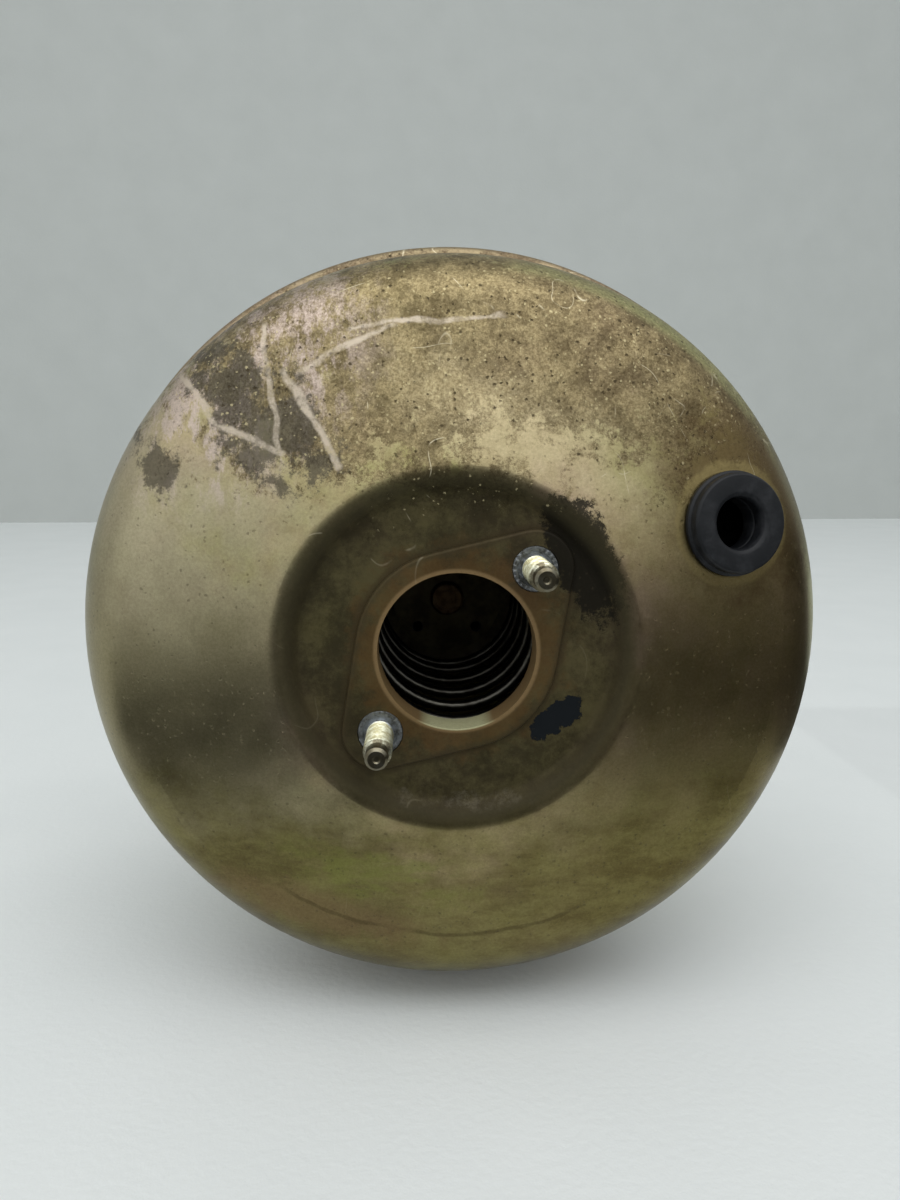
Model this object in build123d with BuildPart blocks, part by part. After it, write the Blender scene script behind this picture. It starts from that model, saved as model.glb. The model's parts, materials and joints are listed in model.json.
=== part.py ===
"""Nine-inch single-diaphragm vacuum brake booster.

The booster's axis is Y. The firewall mounting face is the plane Y = 0, centred on the axis, and the
front of the booster, where the master cylinder bolts on, faces -Y. +Z is up. Millimetres throughout.
Every moving piece is drawn in its released position: the power piston back on its stop key, and the
input rod back with the air valve closed.
"""

import os
from math import cos, hypot, radians, sin, tan

from build123d import *

os.makedirs("parts", exist_ok=True)

# ---- Front and rear shells ----
front_depth = 72.0  # master cylinder pad to the joint of the two shells
rear_depth = 48.0  # joint of the two shells to the firewall face
shell_wall = 1.8
rim_radius = 126.0
rim_reach = 9.7  # how far the rim stands out from the drum
rim_bend = 3.2
side_draft = 1.0  # how much wider the drum is at the rim than at the shoulder
shoulder_bend = 22.0
annulus_slope = 14.4  # degrees, the shallow cone between hub and shoulder
rim_overlap = 5.0  # how far the rolled edge reaches over the rear shell's flange
rim_clearance = 1.6  # flange edge to the inside of the rolled rim
crimp_count = 18
crimp_gap_width = 6.0

# ---- Hub of the front shell ----
bore_radius = 23.0
collar_length = 10.0
pad_height = 1.75
pad_bore_land = 6.5  # flat of the pad round the bore
pad_stud_land = 11.4  # corner radius of the pad round each stud
hub_floor_margin = 1.3  # floor left outside the pad's corners
hub_lip_width = 4.5
hub_lip_rise = 3.0  # lip in front of the pad face
hub_lip_bend = 6.0
hub_floor_bend = 3.0

# ---- Master cylinder studs ----
stud_inset = 9.8  # stud's axis from the edge of the bore
stud_angle = 47.3  # degrees from +X
stud_radius = 4.0
stud_reach = 23.0  # pad face to the stud's tip
stud_collar_width = 2.6
stud_collar_recess = 0.1  # collar's face below the pad, so that a flange lies flat
stud_head_width = 2.5
stud_head_height = 2.2
dog_point_step = 0.8
dog_point_length = 4.5
stud_plate_wall = 3.2

# ---- Firewall studs ----
firewall_spacing_x = 85.0
firewall_spacing_z = 70.0
firewall_stud_reach = 26.0
firewall_shank_step = 0.4
firewall_plate_wall = 2.0
firewall_plate_gap = 2.5  # plate's inner edge outside the stop key
firewall_plate_outside = 7.1

# ---- Rear shell ----
rear_flat_radius = 66.0
rear_knee_depth = 20.0  # knee in front of the firewall face
rear_flange_width = 11.1
rear_side_taper = 6.5  # how much narrower the shell is at the knee than at the flange
rear_root_bend = 4.0
rear_knee_bend = 16.0
rear_flat_bend = 10.0
neck_bend = 3.0
neck_inner_radius = 31.0
neck_length = 16.0

# ---- Vacuum grommet ----
grommet_inset = 26.8  # its centre inside the drum's shoulder
grommet_angle = 24.5  # degrees from +X
grommet_hole_radius = 11.0
grommet_bore_radius = 7.5
grommet_face_width = 3.5  # outside the edge of the hole
grommet_base_width = 5.0
grommet_base_height = 2.6
grommet_height = 8.5
grommet_lip_width = 2.2
grommet_lip_height = 4.0
grommet_groove_gap = 0.4  # slack of the groove, which spans the curved wall

# ---- Valve body and power piston ----
seal_space = 6.0  # from the tube to the inside of the neck
tube_wall = 4.0
valve_flange_width = 7.0
valve_flange_wall = 3.0
valve_flange_front = 17.0  # front face of the flange ahead of the firewall face
valve_boss_radius = 20.0
valve_boss_height = 3.5
valve_edge_break = 1.0
lip_groove_step = 6.0  # groove's floor outside the tube
lip_groove_width = 2.8
lip_groove_depth = 2.5
lip_groove_shoulder_wall = 2.0
piston_travel = 34.0  # the tube's end meets the neck's end at full travel

# ---- Diaphragm plate and diaphragm ----
plate_wall = 1.2
plate_flat_radius = 58.0
roll_gap = 0.6  # from the diaphragm's rolling fold to the drum
plate_dish_depth = 20.2
plate_skirt = 15.0
plate_flat_bend = 8.0
plate_edge_bend = 6.0
diaphragm_wall = 2.0
roll_radius = 6.8  # outer radius of the rolling fold
bead_space = 6.6
bead_width = 4.4

# ---- Output pushrod ----
pushrod_stem_length = 4.7  # tip in front of the head
pushrod_radius = 6.5
pushrod_head_height = 4.0
pushrod_ring_radius = 4.2  # turned ring in the pushrod's end
disc_radius = 12.0
disc_height = 5.0
cap_wall = 1.2
cap_flange_margin = 2.1  # flange outside the spring
port_inset = 3.5  # port's axis inside the edge of the boss
port_radius = 2.0
port_count = 4

# ---- Return spring ----
spring_wire_radius = 1.9
spring_turns = 7.0
spring_seat_wall = 1.2
spring_seat_rim_height = 3.0

# ---- Control valve and input rod ----
plunger_radius = 8.0
plunger_bore_gap = 0.06  # running fit of the plunger in the valve body
plunger_nose_gap = 2.8  # plunger nose to reaction disc
input_travel = 2.5
key_wall = 2.5
key_width = 13.0
key_overlap = 8.5  # how far the key's end reaches outside the neck
key_groove_radius = 5.5
air_seat_radius = 11.5
air_seat_wall = 3.0
air_seat_back = 11.0  # the air seat behind the firewall face
vacuum_seat_radius = 14.25
vacuum_seat_width = 1.5
vacuum_seat_height = 1.0
vacuum_seat_lift = 1.3  # poppet's rest gap from the vacuum seat
air_well_gap = 0.8  # round the air seat
ball_radius = 5.0
ball_depth = 3.0  # ball centre behind the firewall face
rod_radius = 5.0
rod_neck_radius = 3.6
rod_engagement = 6.0  # rod's thread in the clevis
ball_fit = 0.06
socket_throat_gap = 1.0
socket_mouth_radius = 6.5
poppet_wall = 2.5
poppet_inner_radius = 8.6
poppet_outer_radius = 17.0
poppet_length = 9.7
cuff_wall = 2.4
retainer_wall = 1.2
retainer_length = 8.4
retainer_hole_radius = 8.6
poppet_wire = 0.5
poppet_spring_radius = 12.5
poppet_spring_turns = 3.0
rod_spring_wire = 0.75
rod_spring_turns = 3.5
rod_spring_radius = 11.0
rod_spring_length = 12.0
rod_washer_wall = 1.2
rod_step_radius = 4.4
filter_hole_radius = 8.2
silencer_height = 4.0
filter_height = 6.2

# ---- Neck seal, bearing and dust boot ----
seal_fit = 0.06  # running fit of the seal and the bearing on the valve body's tube
bearing_start = 3.2
bearing_length = 2.6
seal_length = 6.0
seal_lip_wall = 1.5
neck_ring_wall = 1.4
boot_wall = 2.0  # measured square to the booster's axis
boot_cuff_length = 9.0
boot_root_gap = 2.5  # folds to the tube
boot_fold_depth = 7.5
boot_fold_count = 5
boot_fold_margin = 6.0  # folds carried past the end of the tube
boot_cone_length = 12.0
boot_rod_cuff_length = 10.0

# ---- Clevis ----
nut_gap = 16.0  # lock nut to the end of the boot
nut_wall = 6.0
nut_across_flats = 17.0
clevis_gap = 12.0
clevis_ear_wall = 5.0
clevis_height = 20.0
clevis_socket_radius = 9.0
clevis_socket_length = 10.0
clevis_length = 34.0
clevis_pin_radius = 5.0

# ---- Clearances ----
seat_gap = 0.3  # soft pieces and stops from what they rest on
press_gap = 0.1  # between a pressed-in ring and its housing
slip_gap = 0.2  # between rigid pieces that only locate each other

# ---- Radii that follow from others ----
shoulder_radius = rim_radius - rim_reach - side_draft  # widest part of the drum's round
rear_root_radius = rim_radius - shell_wall - rim_clearance - rear_flange_width
rear_knee_radius = rear_root_radius - rear_side_taper
stud_circle_radius = bore_radius + stud_inset
stud_collar_radius = stud_radius + stud_collar_width
stud_head_radius = stud_radius + stud_head_width
dog_point_radius = stud_radius - dog_point_step
hub_floor_radius = stud_circle_radius + pad_stud_land + hub_floor_margin
hub_lip_radius = hub_floor_radius + hub_lip_width
firewall_shank_radius = stud_radius + firewall_shank_step
firewall_stud_circle = hypot(firewall_spacing_x, firewall_spacing_z) / 2
firewall_plate_outer = firewall_stud_circle + firewall_plate_outside
grommet_radius = shoulder_radius - grommet_inset
grommet_face_radius = grommet_hole_radius + grommet_face_width
grommet_base_radius = grommet_hole_radius + grommet_base_width
grommet_lip_radius = grommet_hole_radius + grommet_lip_width
tube_radius = neck_inner_radius - seal_space
lip_groove_radius = tube_radius + lip_groove_step
lip_groove_shoulder = lip_groove_radius + lip_groove_depth
valve_flange_radius = lip_groove_radius + valve_flange_width
port_circle_radius = valve_boss_radius - port_inset
spring_radius = bore_radius + shell_wall + seat_gap + spring_wire_radius
cap_flange_radius = spring_radius + spring_wire_radius + cap_flange_margin
plate_radius = shoulder_radius - shell_wall - roll_gap - 2 * roll_radius - seat_gap
key_reach = neck_inner_radius + key_overlap
firewall_plate_inner = key_reach + firewall_plate_gap
boot_root_radius = tube_radius + boot_root_gap + boot_wall
boot_crest_radius = boot_root_radius + boot_fold_depth

# ---- Stations along Y ----
tube_reach = neck_length + piston_travel
boot_fold_end = tube_reach + boot_fold_margin
boot_rod_cuff_start = boot_fold_end + boot_cone_length
boot_rod_cuff_end = boot_rod_cuff_start + boot_rod_cuff_length
nut_start = boot_rod_cuff_end + nut_gap
rod_end = nut_start + nut_wall + rod_engagement
pad_y = -(front_depth + rear_depth)
floor_y = pad_y + pad_height
rim_y = -rear_depth
rim_back_y = rim_y + shell_wall
rim_front_y = rim_y - bead_space - shell_wall
lip_y = pad_y - hub_lip_rise
plate_back_y = -valve_flange_front + valve_flange_wall + plate_wall
flange_front_y = -valve_flange_front
boss_front_y = flange_front_y - valve_boss_height
pocket_floor_y = boss_front_y + slip_gap + pushrod_head_height + disc_height
cap_front_y = boss_front_y - slip_gap - cap_wall
cap_seat_y = flange_front_y - cap_wall
stud_plate_front_y = pad_y + shell_wall
stud_plate_back_y = stud_plate_front_y + stud_plate_wall
spring_seat_y = stud_plate_back_y + spring_seat_wall
plunger_nose_y = pocket_floor_y + plunger_nose_gap
key_back_y = -shell_wall - seat_gap
poppet_front_y = air_seat_back + seat_gap
vacuum_seat_y = poppet_front_y - vacuum_seat_lift
air_well_radius = air_seat_radius + air_well_gap
air_well_floor_y = air_seat_back - air_seat_wall - input_travel - seat_gap
key_top_z = plunger_radius - 1
bead_inner_radius = rim_radius - shell_wall - rim_clearance - bead_width
cuff_outer_radius = tube_radius - tube_wall - press_gap
retainer_front_y = poppet_front_y + poppet_wall + 1.8
retainer_back_y = retainer_front_y + retainer_length
rod_washer_depth = retainer_back_y + rod_spring_length

BOTTOM_LEFT = (Align.MIN, Align.MIN)


def facing_front(y):
    """A plane square to the booster's axis, seen from the front: local x is X and local y is Z."""
    return Plane(origin=(0, y, 0), x_dir=(1, 0, 0), z_dir=(0, -1, 0))


def export(piece, name):
    """Labels a finished piece and writes its STEP file."""
    piece.part.label = name
    export_step(piece.part, f"parts/{name}.step")


# Slope of the annulus, and the grommet's seat on it.
annulus_rise = tan(radians(annulus_slope))
shoulder_y = lip_y + (shoulder_radius - hub_lip_radius) * annulus_rise
grommet_y = lip_y + (grommet_radius - hub_lip_radius) * annulus_rise
outward = Vector(cos(radians(grommet_angle)), 0, sin(radians(grommet_angle)))
grommet_centre = outward * grommet_radius + Vector(0, grommet_y, 0)
grommet_normal = outward * sin(radians(annulus_slope)) - Vector(0, cos(radians(annulus_slope)), 0)
grommet_tangent = Vector(-outward.Z, 0, outward.X)
grommet_plane = Plane(origin=grommet_centre, x_dir=grommet_tangent, z_dir=grommet_normal)
grommet_section = Plane(
    origin=grommet_centre, x_dir=grommet_tangent, z_dir=grommet_tangent.cross(grommet_normal)
)

# Outline of the hub's pad: the land round the bore and the lands round both studs, pulled together.
with BuildSketch() as pad_outline:
    Circle(bore_radius + pad_bore_land)
    with PolarLocations(stud_circle_radius, 2, start_angle=stud_angle):
        Circle(pad_stud_land)
    make_hull()

# ---- Front shell: one deep-drawn steel pressing ----
# The skin runs from the bore's collar over the hub, the annulus and the shoulder to the rolled rim.
with BuildPart() as front_shell:
    with BuildSketch(Plane.XY):
        with BuildLine():
            FilletPolyline(
                (bore_radius, pad_y + collar_length),
                (bore_radius, floor_y),
                (hub_floor_radius, floor_y),
                (hub_lip_radius, lip_y),
                (shoulder_radius, shoulder_y),
                (shoulder_radius + side_draft, rim_front_y),
                (rim_radius, rim_front_y),
                (rim_radius, rim_back_y + shell_wall),
                (rim_radius - shell_wall - rim_overlap, rim_back_y + shell_wall),
                radius=(0, hub_floor_bend, hub_lip_bend, shoulder_bend, rim_bend, rim_bend, rim_bend),
            )
            offset(amount=shell_wall, side=Side.LEFT)
        make_face()
    revolve(axis=Axis.Y)
    # The raised pad, embossed from behind so that the wall stays even.
    with BuildSketch(facing_front(floor_y)):
        add(pad_outline.sketch)
    extrude(amount=pad_height)
    pad_rim = front_shell.faces().filter_by(Axis.Y).sort_by(Axis.Y)[0].outer_wire().edges()
    fillet(pad_rim, radius=pad_height * 0.55)
    with BuildSketch(facing_front(floor_y + shell_wall)):
        add(pad_outline.sketch)
        offset(amount=-shell_wall)
        Circle(bore_radius + shell_wall, mode=Mode.SUBTRACT)
    extrude(amount=pad_height, mode=Mode.SUBTRACT)
    with BuildSketch(facing_front(pad_y)):
        Circle(bore_radius)
        with PolarLocations(stud_circle_radius, 2, start_angle=stud_angle):
            Circle(stud_collar_radius + press_gap)
    extrude(amount=-collar_length, mode=Mode.SUBTRACT)
    # The vacuum grommet's hole, square to the annulus.
    with BuildSketch(grommet_plane):
        Circle(grommet_hole_radius)
    extrude(amount=3 * shell_wall, both=True, mode=Mode.SUBTRACT)
    # Gaps between the crimped tabs of the rolled rim.
    with BuildSketch(facing_front(rim_back_y)):
        with PolarLocations(rim_radius - rim_overlap / 2, crimp_count):
            Rectangle(2 * rim_overlap, crimp_gap_width)
    extrude(amount=-3 * shell_wall, mode=Mode.SUBTRACT)
export(front_shell, "front_shell")

# ---- Rear shell: pressed cone with a flat for the firewall and a neck for the valve body ----
with BuildPart() as rear_shell:
    with BuildSketch(Plane.XY):
        with BuildLine():
            FilletPolyline(
                (rim_radius - shell_wall - rim_clearance, rim_back_y),
                (rear_root_radius, rim_back_y),
                (rear_knee_radius, -rear_knee_depth),
                (rear_flat_radius, 0),
                (neck_inner_radius + shell_wall, 0),
                (neck_inner_radius + shell_wall, neck_length),
                radius=(rear_root_bend, rear_knee_bend, rear_flat_bend, neck_bend),
            )
            offset(amount=shell_wall, side=Side.LEFT)
        make_face()
    revolve(axis=Axis.Y)
    with BuildSketch(facing_front(0)):
        with GridLocations(firewall_spacing_x, firewall_spacing_z, 2, 2):
            Circle(firewall_shank_radius)
    extrude(amount=2 * shell_wall, mode=Mode.SUBTRACT)
export(rear_shell, "rear_shell")

# ---- Master cylinder studs: collar swaged flush into the pad, dog point ahead of the thread ----
with BuildPart() as master_cylinder_studs:
    for turn in (0, 180):
        stud_place = radians(stud_angle + turn)
        stud_x = stud_circle_radius * cos(stud_place)
        stud_z = stud_circle_radius * sin(stud_place)
        with BuildSketch(facing_front(stud_plate_back_y)):
            with Locations((stud_x, stud_z)):
                Circle(stud_head_radius)
        extrude(amount=stud_head_height)
        with BuildSketch(facing_front(stud_plate_back_y)):
            with Locations((stud_x, stud_z)):
                Circle(stud_radius)
        extrude(amount=stud_plate_back_y - pad_y + stud_reach - dog_point_length)
        with BuildSketch(facing_front(stud_plate_front_y)):
            with Locations((stud_x, stud_z)):
                Circle(stud_collar_radius)
        extrude(amount=shell_wall - stud_collar_recess)
        with BuildSketch(facing_front(pad_y - stud_reach + dog_point_length)):
            with Locations((stud_x, stud_z)):
                Circle(dog_point_radius)
        extrude(amount=dog_point_length)
    tip_edges = master_cylinder_studs.edges().group_by(Axis.Y)[0]
    chamfer(tip_edges, length=0.8)
export(master_cylinder_studs, "master_cylinder_studs")

# ---- Stud plate: stiffens the hub from behind and holds the studs' heads flush ----
with BuildPart() as stud_plate:
    with BuildSketch(facing_front(stud_plate_back_y)):
        add(pad_outline.sketch)
        offset(amount=-shell_wall - slip_gap)
        Circle(bore_radius + shell_wall + slip_gap, mode=Mode.SUBTRACT)
    extrude(amount=stud_plate_wall)
    with BuildSketch(facing_front(stud_plate_back_y)):
        with PolarLocations(stud_circle_radius, 2, start_angle=stud_angle):
            Circle(stud_head_radius)
    extrude(amount=stud_head_height, mode=Mode.SUBTRACT)
    with BuildSketch(facing_front(stud_plate_back_y)):
        with PolarLocations(stud_circle_radius, 2, start_angle=stud_angle):
            Circle(stud_radius)
    extrude(amount=stud_plate_wall, mode=Mode.SUBTRACT)
export(stud_plate, "stud_plate")

# ---- Front spring seat: a dished ring behind the stud plate that centres the return spring ----
with BuildPart() as spring_seat:
    with BuildSketch(Plane.XY):
        with BuildLine():
            seat_rim = spring_radius + spring_wire_radius + slip_gap
            Polyline(
                (bore_radius + shell_wall + slip_gap, stud_plate_back_y),
                (seat_rim + spring_seat_wall, stud_plate_back_y),
                (seat_rim + spring_seat_wall, spring_seat_y + spring_seat_rim_height),
                (seat_rim, spring_seat_y + spring_seat_rim_height),
                (seat_rim, spring_seat_y),
                (bore_radius + shell_wall + slip_gap, spring_seat_y),
                close=True,
            )
        make_face()
    revolve(axis=Axis.Y)
export(spring_seat, "spring_seat")

# ---- Return spring: a helix from the front seat to the pushrod cap ----
with BuildPart() as return_spring:
    coil_start = spring_seat_y + spring_wire_radius + press_gap
    coil_end = cap_seat_y - spring_wire_radius - press_gap
    coil = Helix(
        pitch=(coil_end - coil_start) / spring_turns,
        height=coil_end - coil_start,
        radius=spring_radius,
        center=(0, coil_start, 0),
        direction=(0, 1, 0),
        mode=Mode.PRIVATE,
    )
    with BuildSketch(Plane(origin=coil @ 0, x_dir=(1, 0, 0), z_dir=coil % 0)):
        RegularPolygon(spring_wire_radius, 6)
    sweep(path=coil, is_frenet=True)
export(return_spring, "return_spring")

# ---- Vacuum grommet: a moulded rubber ring snapped into the front shell ----
with BuildPart() as vacuum_grommet:
    with BuildSketch(grommet_section):
        with BuildLine():
            Polyline(
                (grommet_bore_radius, -shell_wall - grommet_lip_height),
                (grommet_hole_radius, -shell_wall - grommet_lip_height),
                (grommet_lip_radius, -shell_wall - grommet_groove_gap - 1),
                (grommet_lip_radius, -shell_wall - grommet_groove_gap),
                (grommet_hole_radius - press_gap, -shell_wall - grommet_groove_gap),
                (grommet_hole_radius - press_gap, press_gap),
                (grommet_base_radius, press_gap),
                (grommet_base_radius, grommet_base_height),
                (grommet_face_radius, grommet_base_height + 1),
                (grommet_face_radius, grommet_height - 1),
                (grommet_face_radius - 1, grommet_height),
                (grommet_bore_radius + 1, grommet_height),
                (grommet_bore_radius, grommet_height - 1),
                close=True,
            )
        make_face()
    revolve(axis=Axis(grommet_centre, grommet_normal))
export(vacuum_grommet, "vacuum_grommet")

# ---- Firewall studs: four, pressed through the rear shell and its plate ----
with BuildPart() as firewall_studs:
    firewall_plate_front_y = -shell_wall - firewall_plate_wall
    with BuildSketch(facing_front(firewall_plate_front_y)):
        with GridLocations(firewall_spacing_x, firewall_spacing_z, 2, 2):
            Circle(stud_head_radius)
    extrude(amount=stud_head_height)
    with BuildSketch(facing_front(firewall_plate_front_y)):
        with GridLocations(firewall_spacing_x, firewall_spacing_z, 2, 2):
            Circle(firewall_shank_radius)
    extrude(amount=firewall_plate_front_y)
    with BuildSketch(facing_front(firewall_plate_front_y)):
        with GridLocations(firewall_spacing_x, firewall_spacing_z, 2, 2):
            Circle(stud_radius)
    extrude(amount=firewall_plate_front_y - firewall_stud_reach)
    chamfer(firewall_studs.edges().group_by(Axis.Y)[-1], length=1)
export(firewall_studs, "firewall_studs")

# ---- Firewall plate: a ring that spreads the studs' load over the rear shell ----
with BuildPart() as firewall_plate:
    with BuildSketch(facing_front(-shell_wall)):
        Circle(firewall_plate_outer)
        Circle(firewall_plate_inner, mode=Mode.SUBTRACT)
        with GridLocations(firewall_spacing_x, firewall_spacing_z, 2, 2):
            Circle(firewall_shank_radius, mode=Mode.SUBTRACT)
    extrude(amount=firewall_plate_wall)
export(firewall_plate, "firewall_plate")

# ---- Guide bearing, seal and retaining ring in the neck ----
seal_start = bearing_start + bearing_length + slip_gap
neck_ring_start = seal_start + seal_length + slip_gap

with BuildPart() as guide_bearing:
    with BuildSketch(facing_front(bearing_start)):
        Circle(neck_inner_radius - press_gap)
        Circle(tube_radius + seal_fit, mode=Mode.SUBTRACT)
    extrude(amount=-bearing_length)
export(guide_bearing, "guide_bearing")

with BuildPart() as neck_seal:
    with BuildSketch(Plane.XY):
        with BuildLine():
            Polyline(
                (tube_radius + seal_fit, seal_start),
                (neck_inner_radius - press_gap, seal_start),
                (neck_inner_radius - press_gap, seal_start + seal_length),
                (neck_inner_radius - seal_lip_wall, seal_start + seal_length),
                (neck_inner_radius - seal_lip_wall, seal_start + seal_lip_wall),
                (tube_radius + seal_lip_wall, seal_start + seal_lip_wall),
                (tube_radius + seal_lip_wall, seal_start + seal_length * 0.8),
                (tube_radius + seal_fit, seal_start + seal_length),
                close=True,
            )
        make_face()
    revolve(axis=Axis.Y)
export(neck_seal, "neck_seal")

with BuildPart() as neck_ring:
    with BuildSketch(facing_front(neck_ring_start)):
        Circle(neck_inner_radius - press_gap)
        Circle(tube_radius + 1, mode=Mode.SUBTRACT)
    extrude(amount=-neck_ring_wall)
export(neck_ring, "neck_ring")

# ---- Valve body: moulded plastic, with the flange in front and the air tube behind ----
with BuildPart() as valve_body:
    with BuildSketch(Plane.XY):
        with BuildLine():
            Polyline(
                (disc_radius + slip_gap, boss_front_y),
                (valve_boss_radius - valve_edge_break, boss_front_y),
                (valve_boss_radius, boss_front_y + valve_edge_break),
                (valve_boss_radius, flange_front_y),
                (valve_flange_radius, flange_front_y),
                (valve_flange_radius, flange_front_y + valve_flange_wall),
                (lip_groove_radius, flange_front_y + valve_flange_wall),
                (lip_groove_radius, plate_back_y + lip_groove_width),
                (lip_groove_shoulder, plate_back_y + lip_groove_width),
                (lip_groove_shoulder, plate_back_y + lip_groove_width + lip_groove_shoulder_wall),
                (tube_radius, plate_back_y + lip_groove_width + lip_groove_shoulder_wall),
                (tube_radius, tube_reach),
                (tube_radius - tube_wall, tube_reach),
                (tube_radius - tube_wall, vacuum_seat_y - vacuum_seat_height),
                (vacuum_seat_radius + vacuum_seat_width / 2, vacuum_seat_y - vacuum_seat_height),
                (vacuum_seat_radius + vacuum_seat_width / 2, vacuum_seat_y),
                (vacuum_seat_radius - vacuum_seat_width / 2, vacuum_seat_y),
                (vacuum_seat_radius - vacuum_seat_width / 2, vacuum_seat_y - vacuum_seat_height),
                (air_well_radius, vacuum_seat_y - vacuum_seat_height),
                (air_well_radius, air_well_floor_y),
                (plunger_radius + plunger_bore_gap, air_well_floor_y),
                (plunger_radius + plunger_bore_gap, pocket_floor_y),
                (disc_radius + slip_gap, pocket_floor_y),
                close=True,
            )
        make_face()
    revolve(axis=Axis.Y)
    # Vacuum passages from the front chamber to the valve.
    with BuildSketch(facing_front(boss_front_y)):
        with PolarLocations(port_circle_radius, port_count, start_angle=45):
            Circle(port_radius)
    extrude(amount=boss_front_y - vacuum_seat_y, mode=Mode.SUBTRACT)
    # Slot that the stop key slides into from below.
    with BuildSketch(facing_front(key_back_y + slip_gap)):
        with Locations((0, key_top_z + slip_gap)):
            Rectangle(
                key_width + 2 * slip_gap,
                key_top_z + slip_gap + lip_groove_shoulder,
                align=(Align.CENTER, Align.MAX),
            )
    extrude(amount=key_wall + 2 * slip_gap, mode=Mode.SUBTRACT)
export(valve_body, "valve_body")

# ---- Diaphragm plate: a pressed dish with a skirt that the diaphragm rolls over ----
with BuildPart() as diaphragm_plate:
    with BuildSketch(Plane.XY):
        with BuildLine():
            FilletPolyline(
                (lip_groove_radius + slip_gap, plate_back_y),
                (plate_flat_radius, plate_back_y),
                (plate_radius, plate_back_y - plate_dish_depth),
                (plate_radius, plate_back_y - plate_dish_depth - plate_skirt),
                radius=(plate_flat_bend, plate_edge_bend),
            )
            offset(amount=plate_wall, side=Side.RIGHT)
        make_face()
    revolve(axis=Axis.Y)
export(diaphragm_plate, "diaphragm_plate")

# ---- Diaphragm: rubber, held by its inner lip, rolled over the plate and beaded into the rim ----
with BuildPart() as diaphragm:
    lip_front_y = plate_back_y + seat_gap
    web_y = rim_y - seat_gap - diaphragm_wall
    roll_centre_radius = plate_radius + seat_gap + roll_radius
    roll = []
    for step in range(5):
        roll_angle = radians(45 * step)
        roll_point_radius = roll_centre_radius - roll_radius * cos(roll_angle)
        roll.append((roll_point_radius, web_y - roll_radius * sin(roll_angle)))
    with BuildSketch(Plane.XY):
        with BuildLine():
            Polyline(
                (lip_groove_radius + seat_gap, lip_front_y),
                (plate_flat_radius, lip_front_y),
                (plate_radius + seat_gap, lip_front_y - plate_dish_depth),
                *roll,
                (bead_inner_radius + diaphragm_wall, web_y),
            )
            offset(amount=diaphragm_wall, side=Side.LEFT, kind=Kind.INTERSECTION)
        make_face()
        with Locations((bead_inner_radius, rim_y - bead_space + press_gap)):
            Rectangle(bead_width, bead_space - 2 * press_gap, align=BOTTOM_LEFT)
    revolve(axis=Axis.Y)
export(diaphragm, "diaphragm")

# ---- Reaction disc, output pushrod and the cap that holds them in the valve body ----
with BuildPart() as reaction_disc:
    with BuildSketch(facing_front(pocket_floor_y)):
        Circle(disc_radius)
    extrude(amount=disc_height - press_gap)
    chamfer(reaction_disc.edges(), length=0.8)
export(reaction_disc, "reaction_disc")

with BuildPart() as output_pushrod:
    head_back_y = pocket_floor_y - disc_height
    tip_y = head_back_y - pushrod_head_height - pushrod_stem_length
    with BuildSketch(facing_front(head_back_y)):
        Circle(disc_radius)
    extrude(amount=pushrod_head_height)
    with BuildSketch(facing_front(head_back_y)):
        Circle(pushrod_radius)
    extrude(amount=head_back_y - tip_y)
    chamfer(output_pushrod.edges().group_by(Axis.Y)[0], length=0.8)
    with BuildSketch(facing_front(tip_y)):
        Circle(pushrod_ring_radius)
        Circle(pushrod_ring_radius - 1, mode=Mode.SUBTRACT)
    extrude(amount=-0.6, mode=Mode.SUBTRACT)
export(output_pushrod, "output_pushrod")

with BuildPart() as pushrod_cap:
    with BuildSketch(Plane.XY):
        with BuildLine():
            Polyline(
                (pushrod_radius + seat_gap, cap_front_y),
                (valve_boss_radius + slip_gap + cap_wall, cap_front_y),
                (valve_boss_radius + slip_gap + cap_wall, cap_seat_y),
                (cap_flange_radius, cap_seat_y),
            )
            offset(amount=cap_wall, side=Side.LEFT, kind=Kind.INTERSECTION)
        make_face()
    revolve(axis=Axis.Y)
    with BuildSketch(facing_front(cap_front_y)):
        with PolarLocations(port_circle_radius, port_count, start_angle=45):
            Circle(port_radius + slip_gap)
    extrude(amount=-cap_wall, mode=Mode.SUBTRACT)
export(pushrod_cap, "pushrod_cap")

# ---- Stop key: a flat fork round the plunger that also stops the piston on the rear shell ----
with BuildPart() as stop_key:
    with BuildSketch(facing_front(key_back_y)):
        with Locations((0, key_top_z)):
            Rectangle(key_width, key_top_z + key_reach, align=(Align.CENTER, Align.MAX))
        Circle(key_groove_radius + slip_gap, mode=Mode.SUBTRACT)
        Rectangle(
            2 * (key_groove_radius + slip_gap),
            key_top_z + 1,
            align=(Align.CENTER, Align.MIN),
            mode=Mode.SUBTRACT,
        )
    extrude(amount=key_wall)
export(stop_key, "stop_key")

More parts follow.
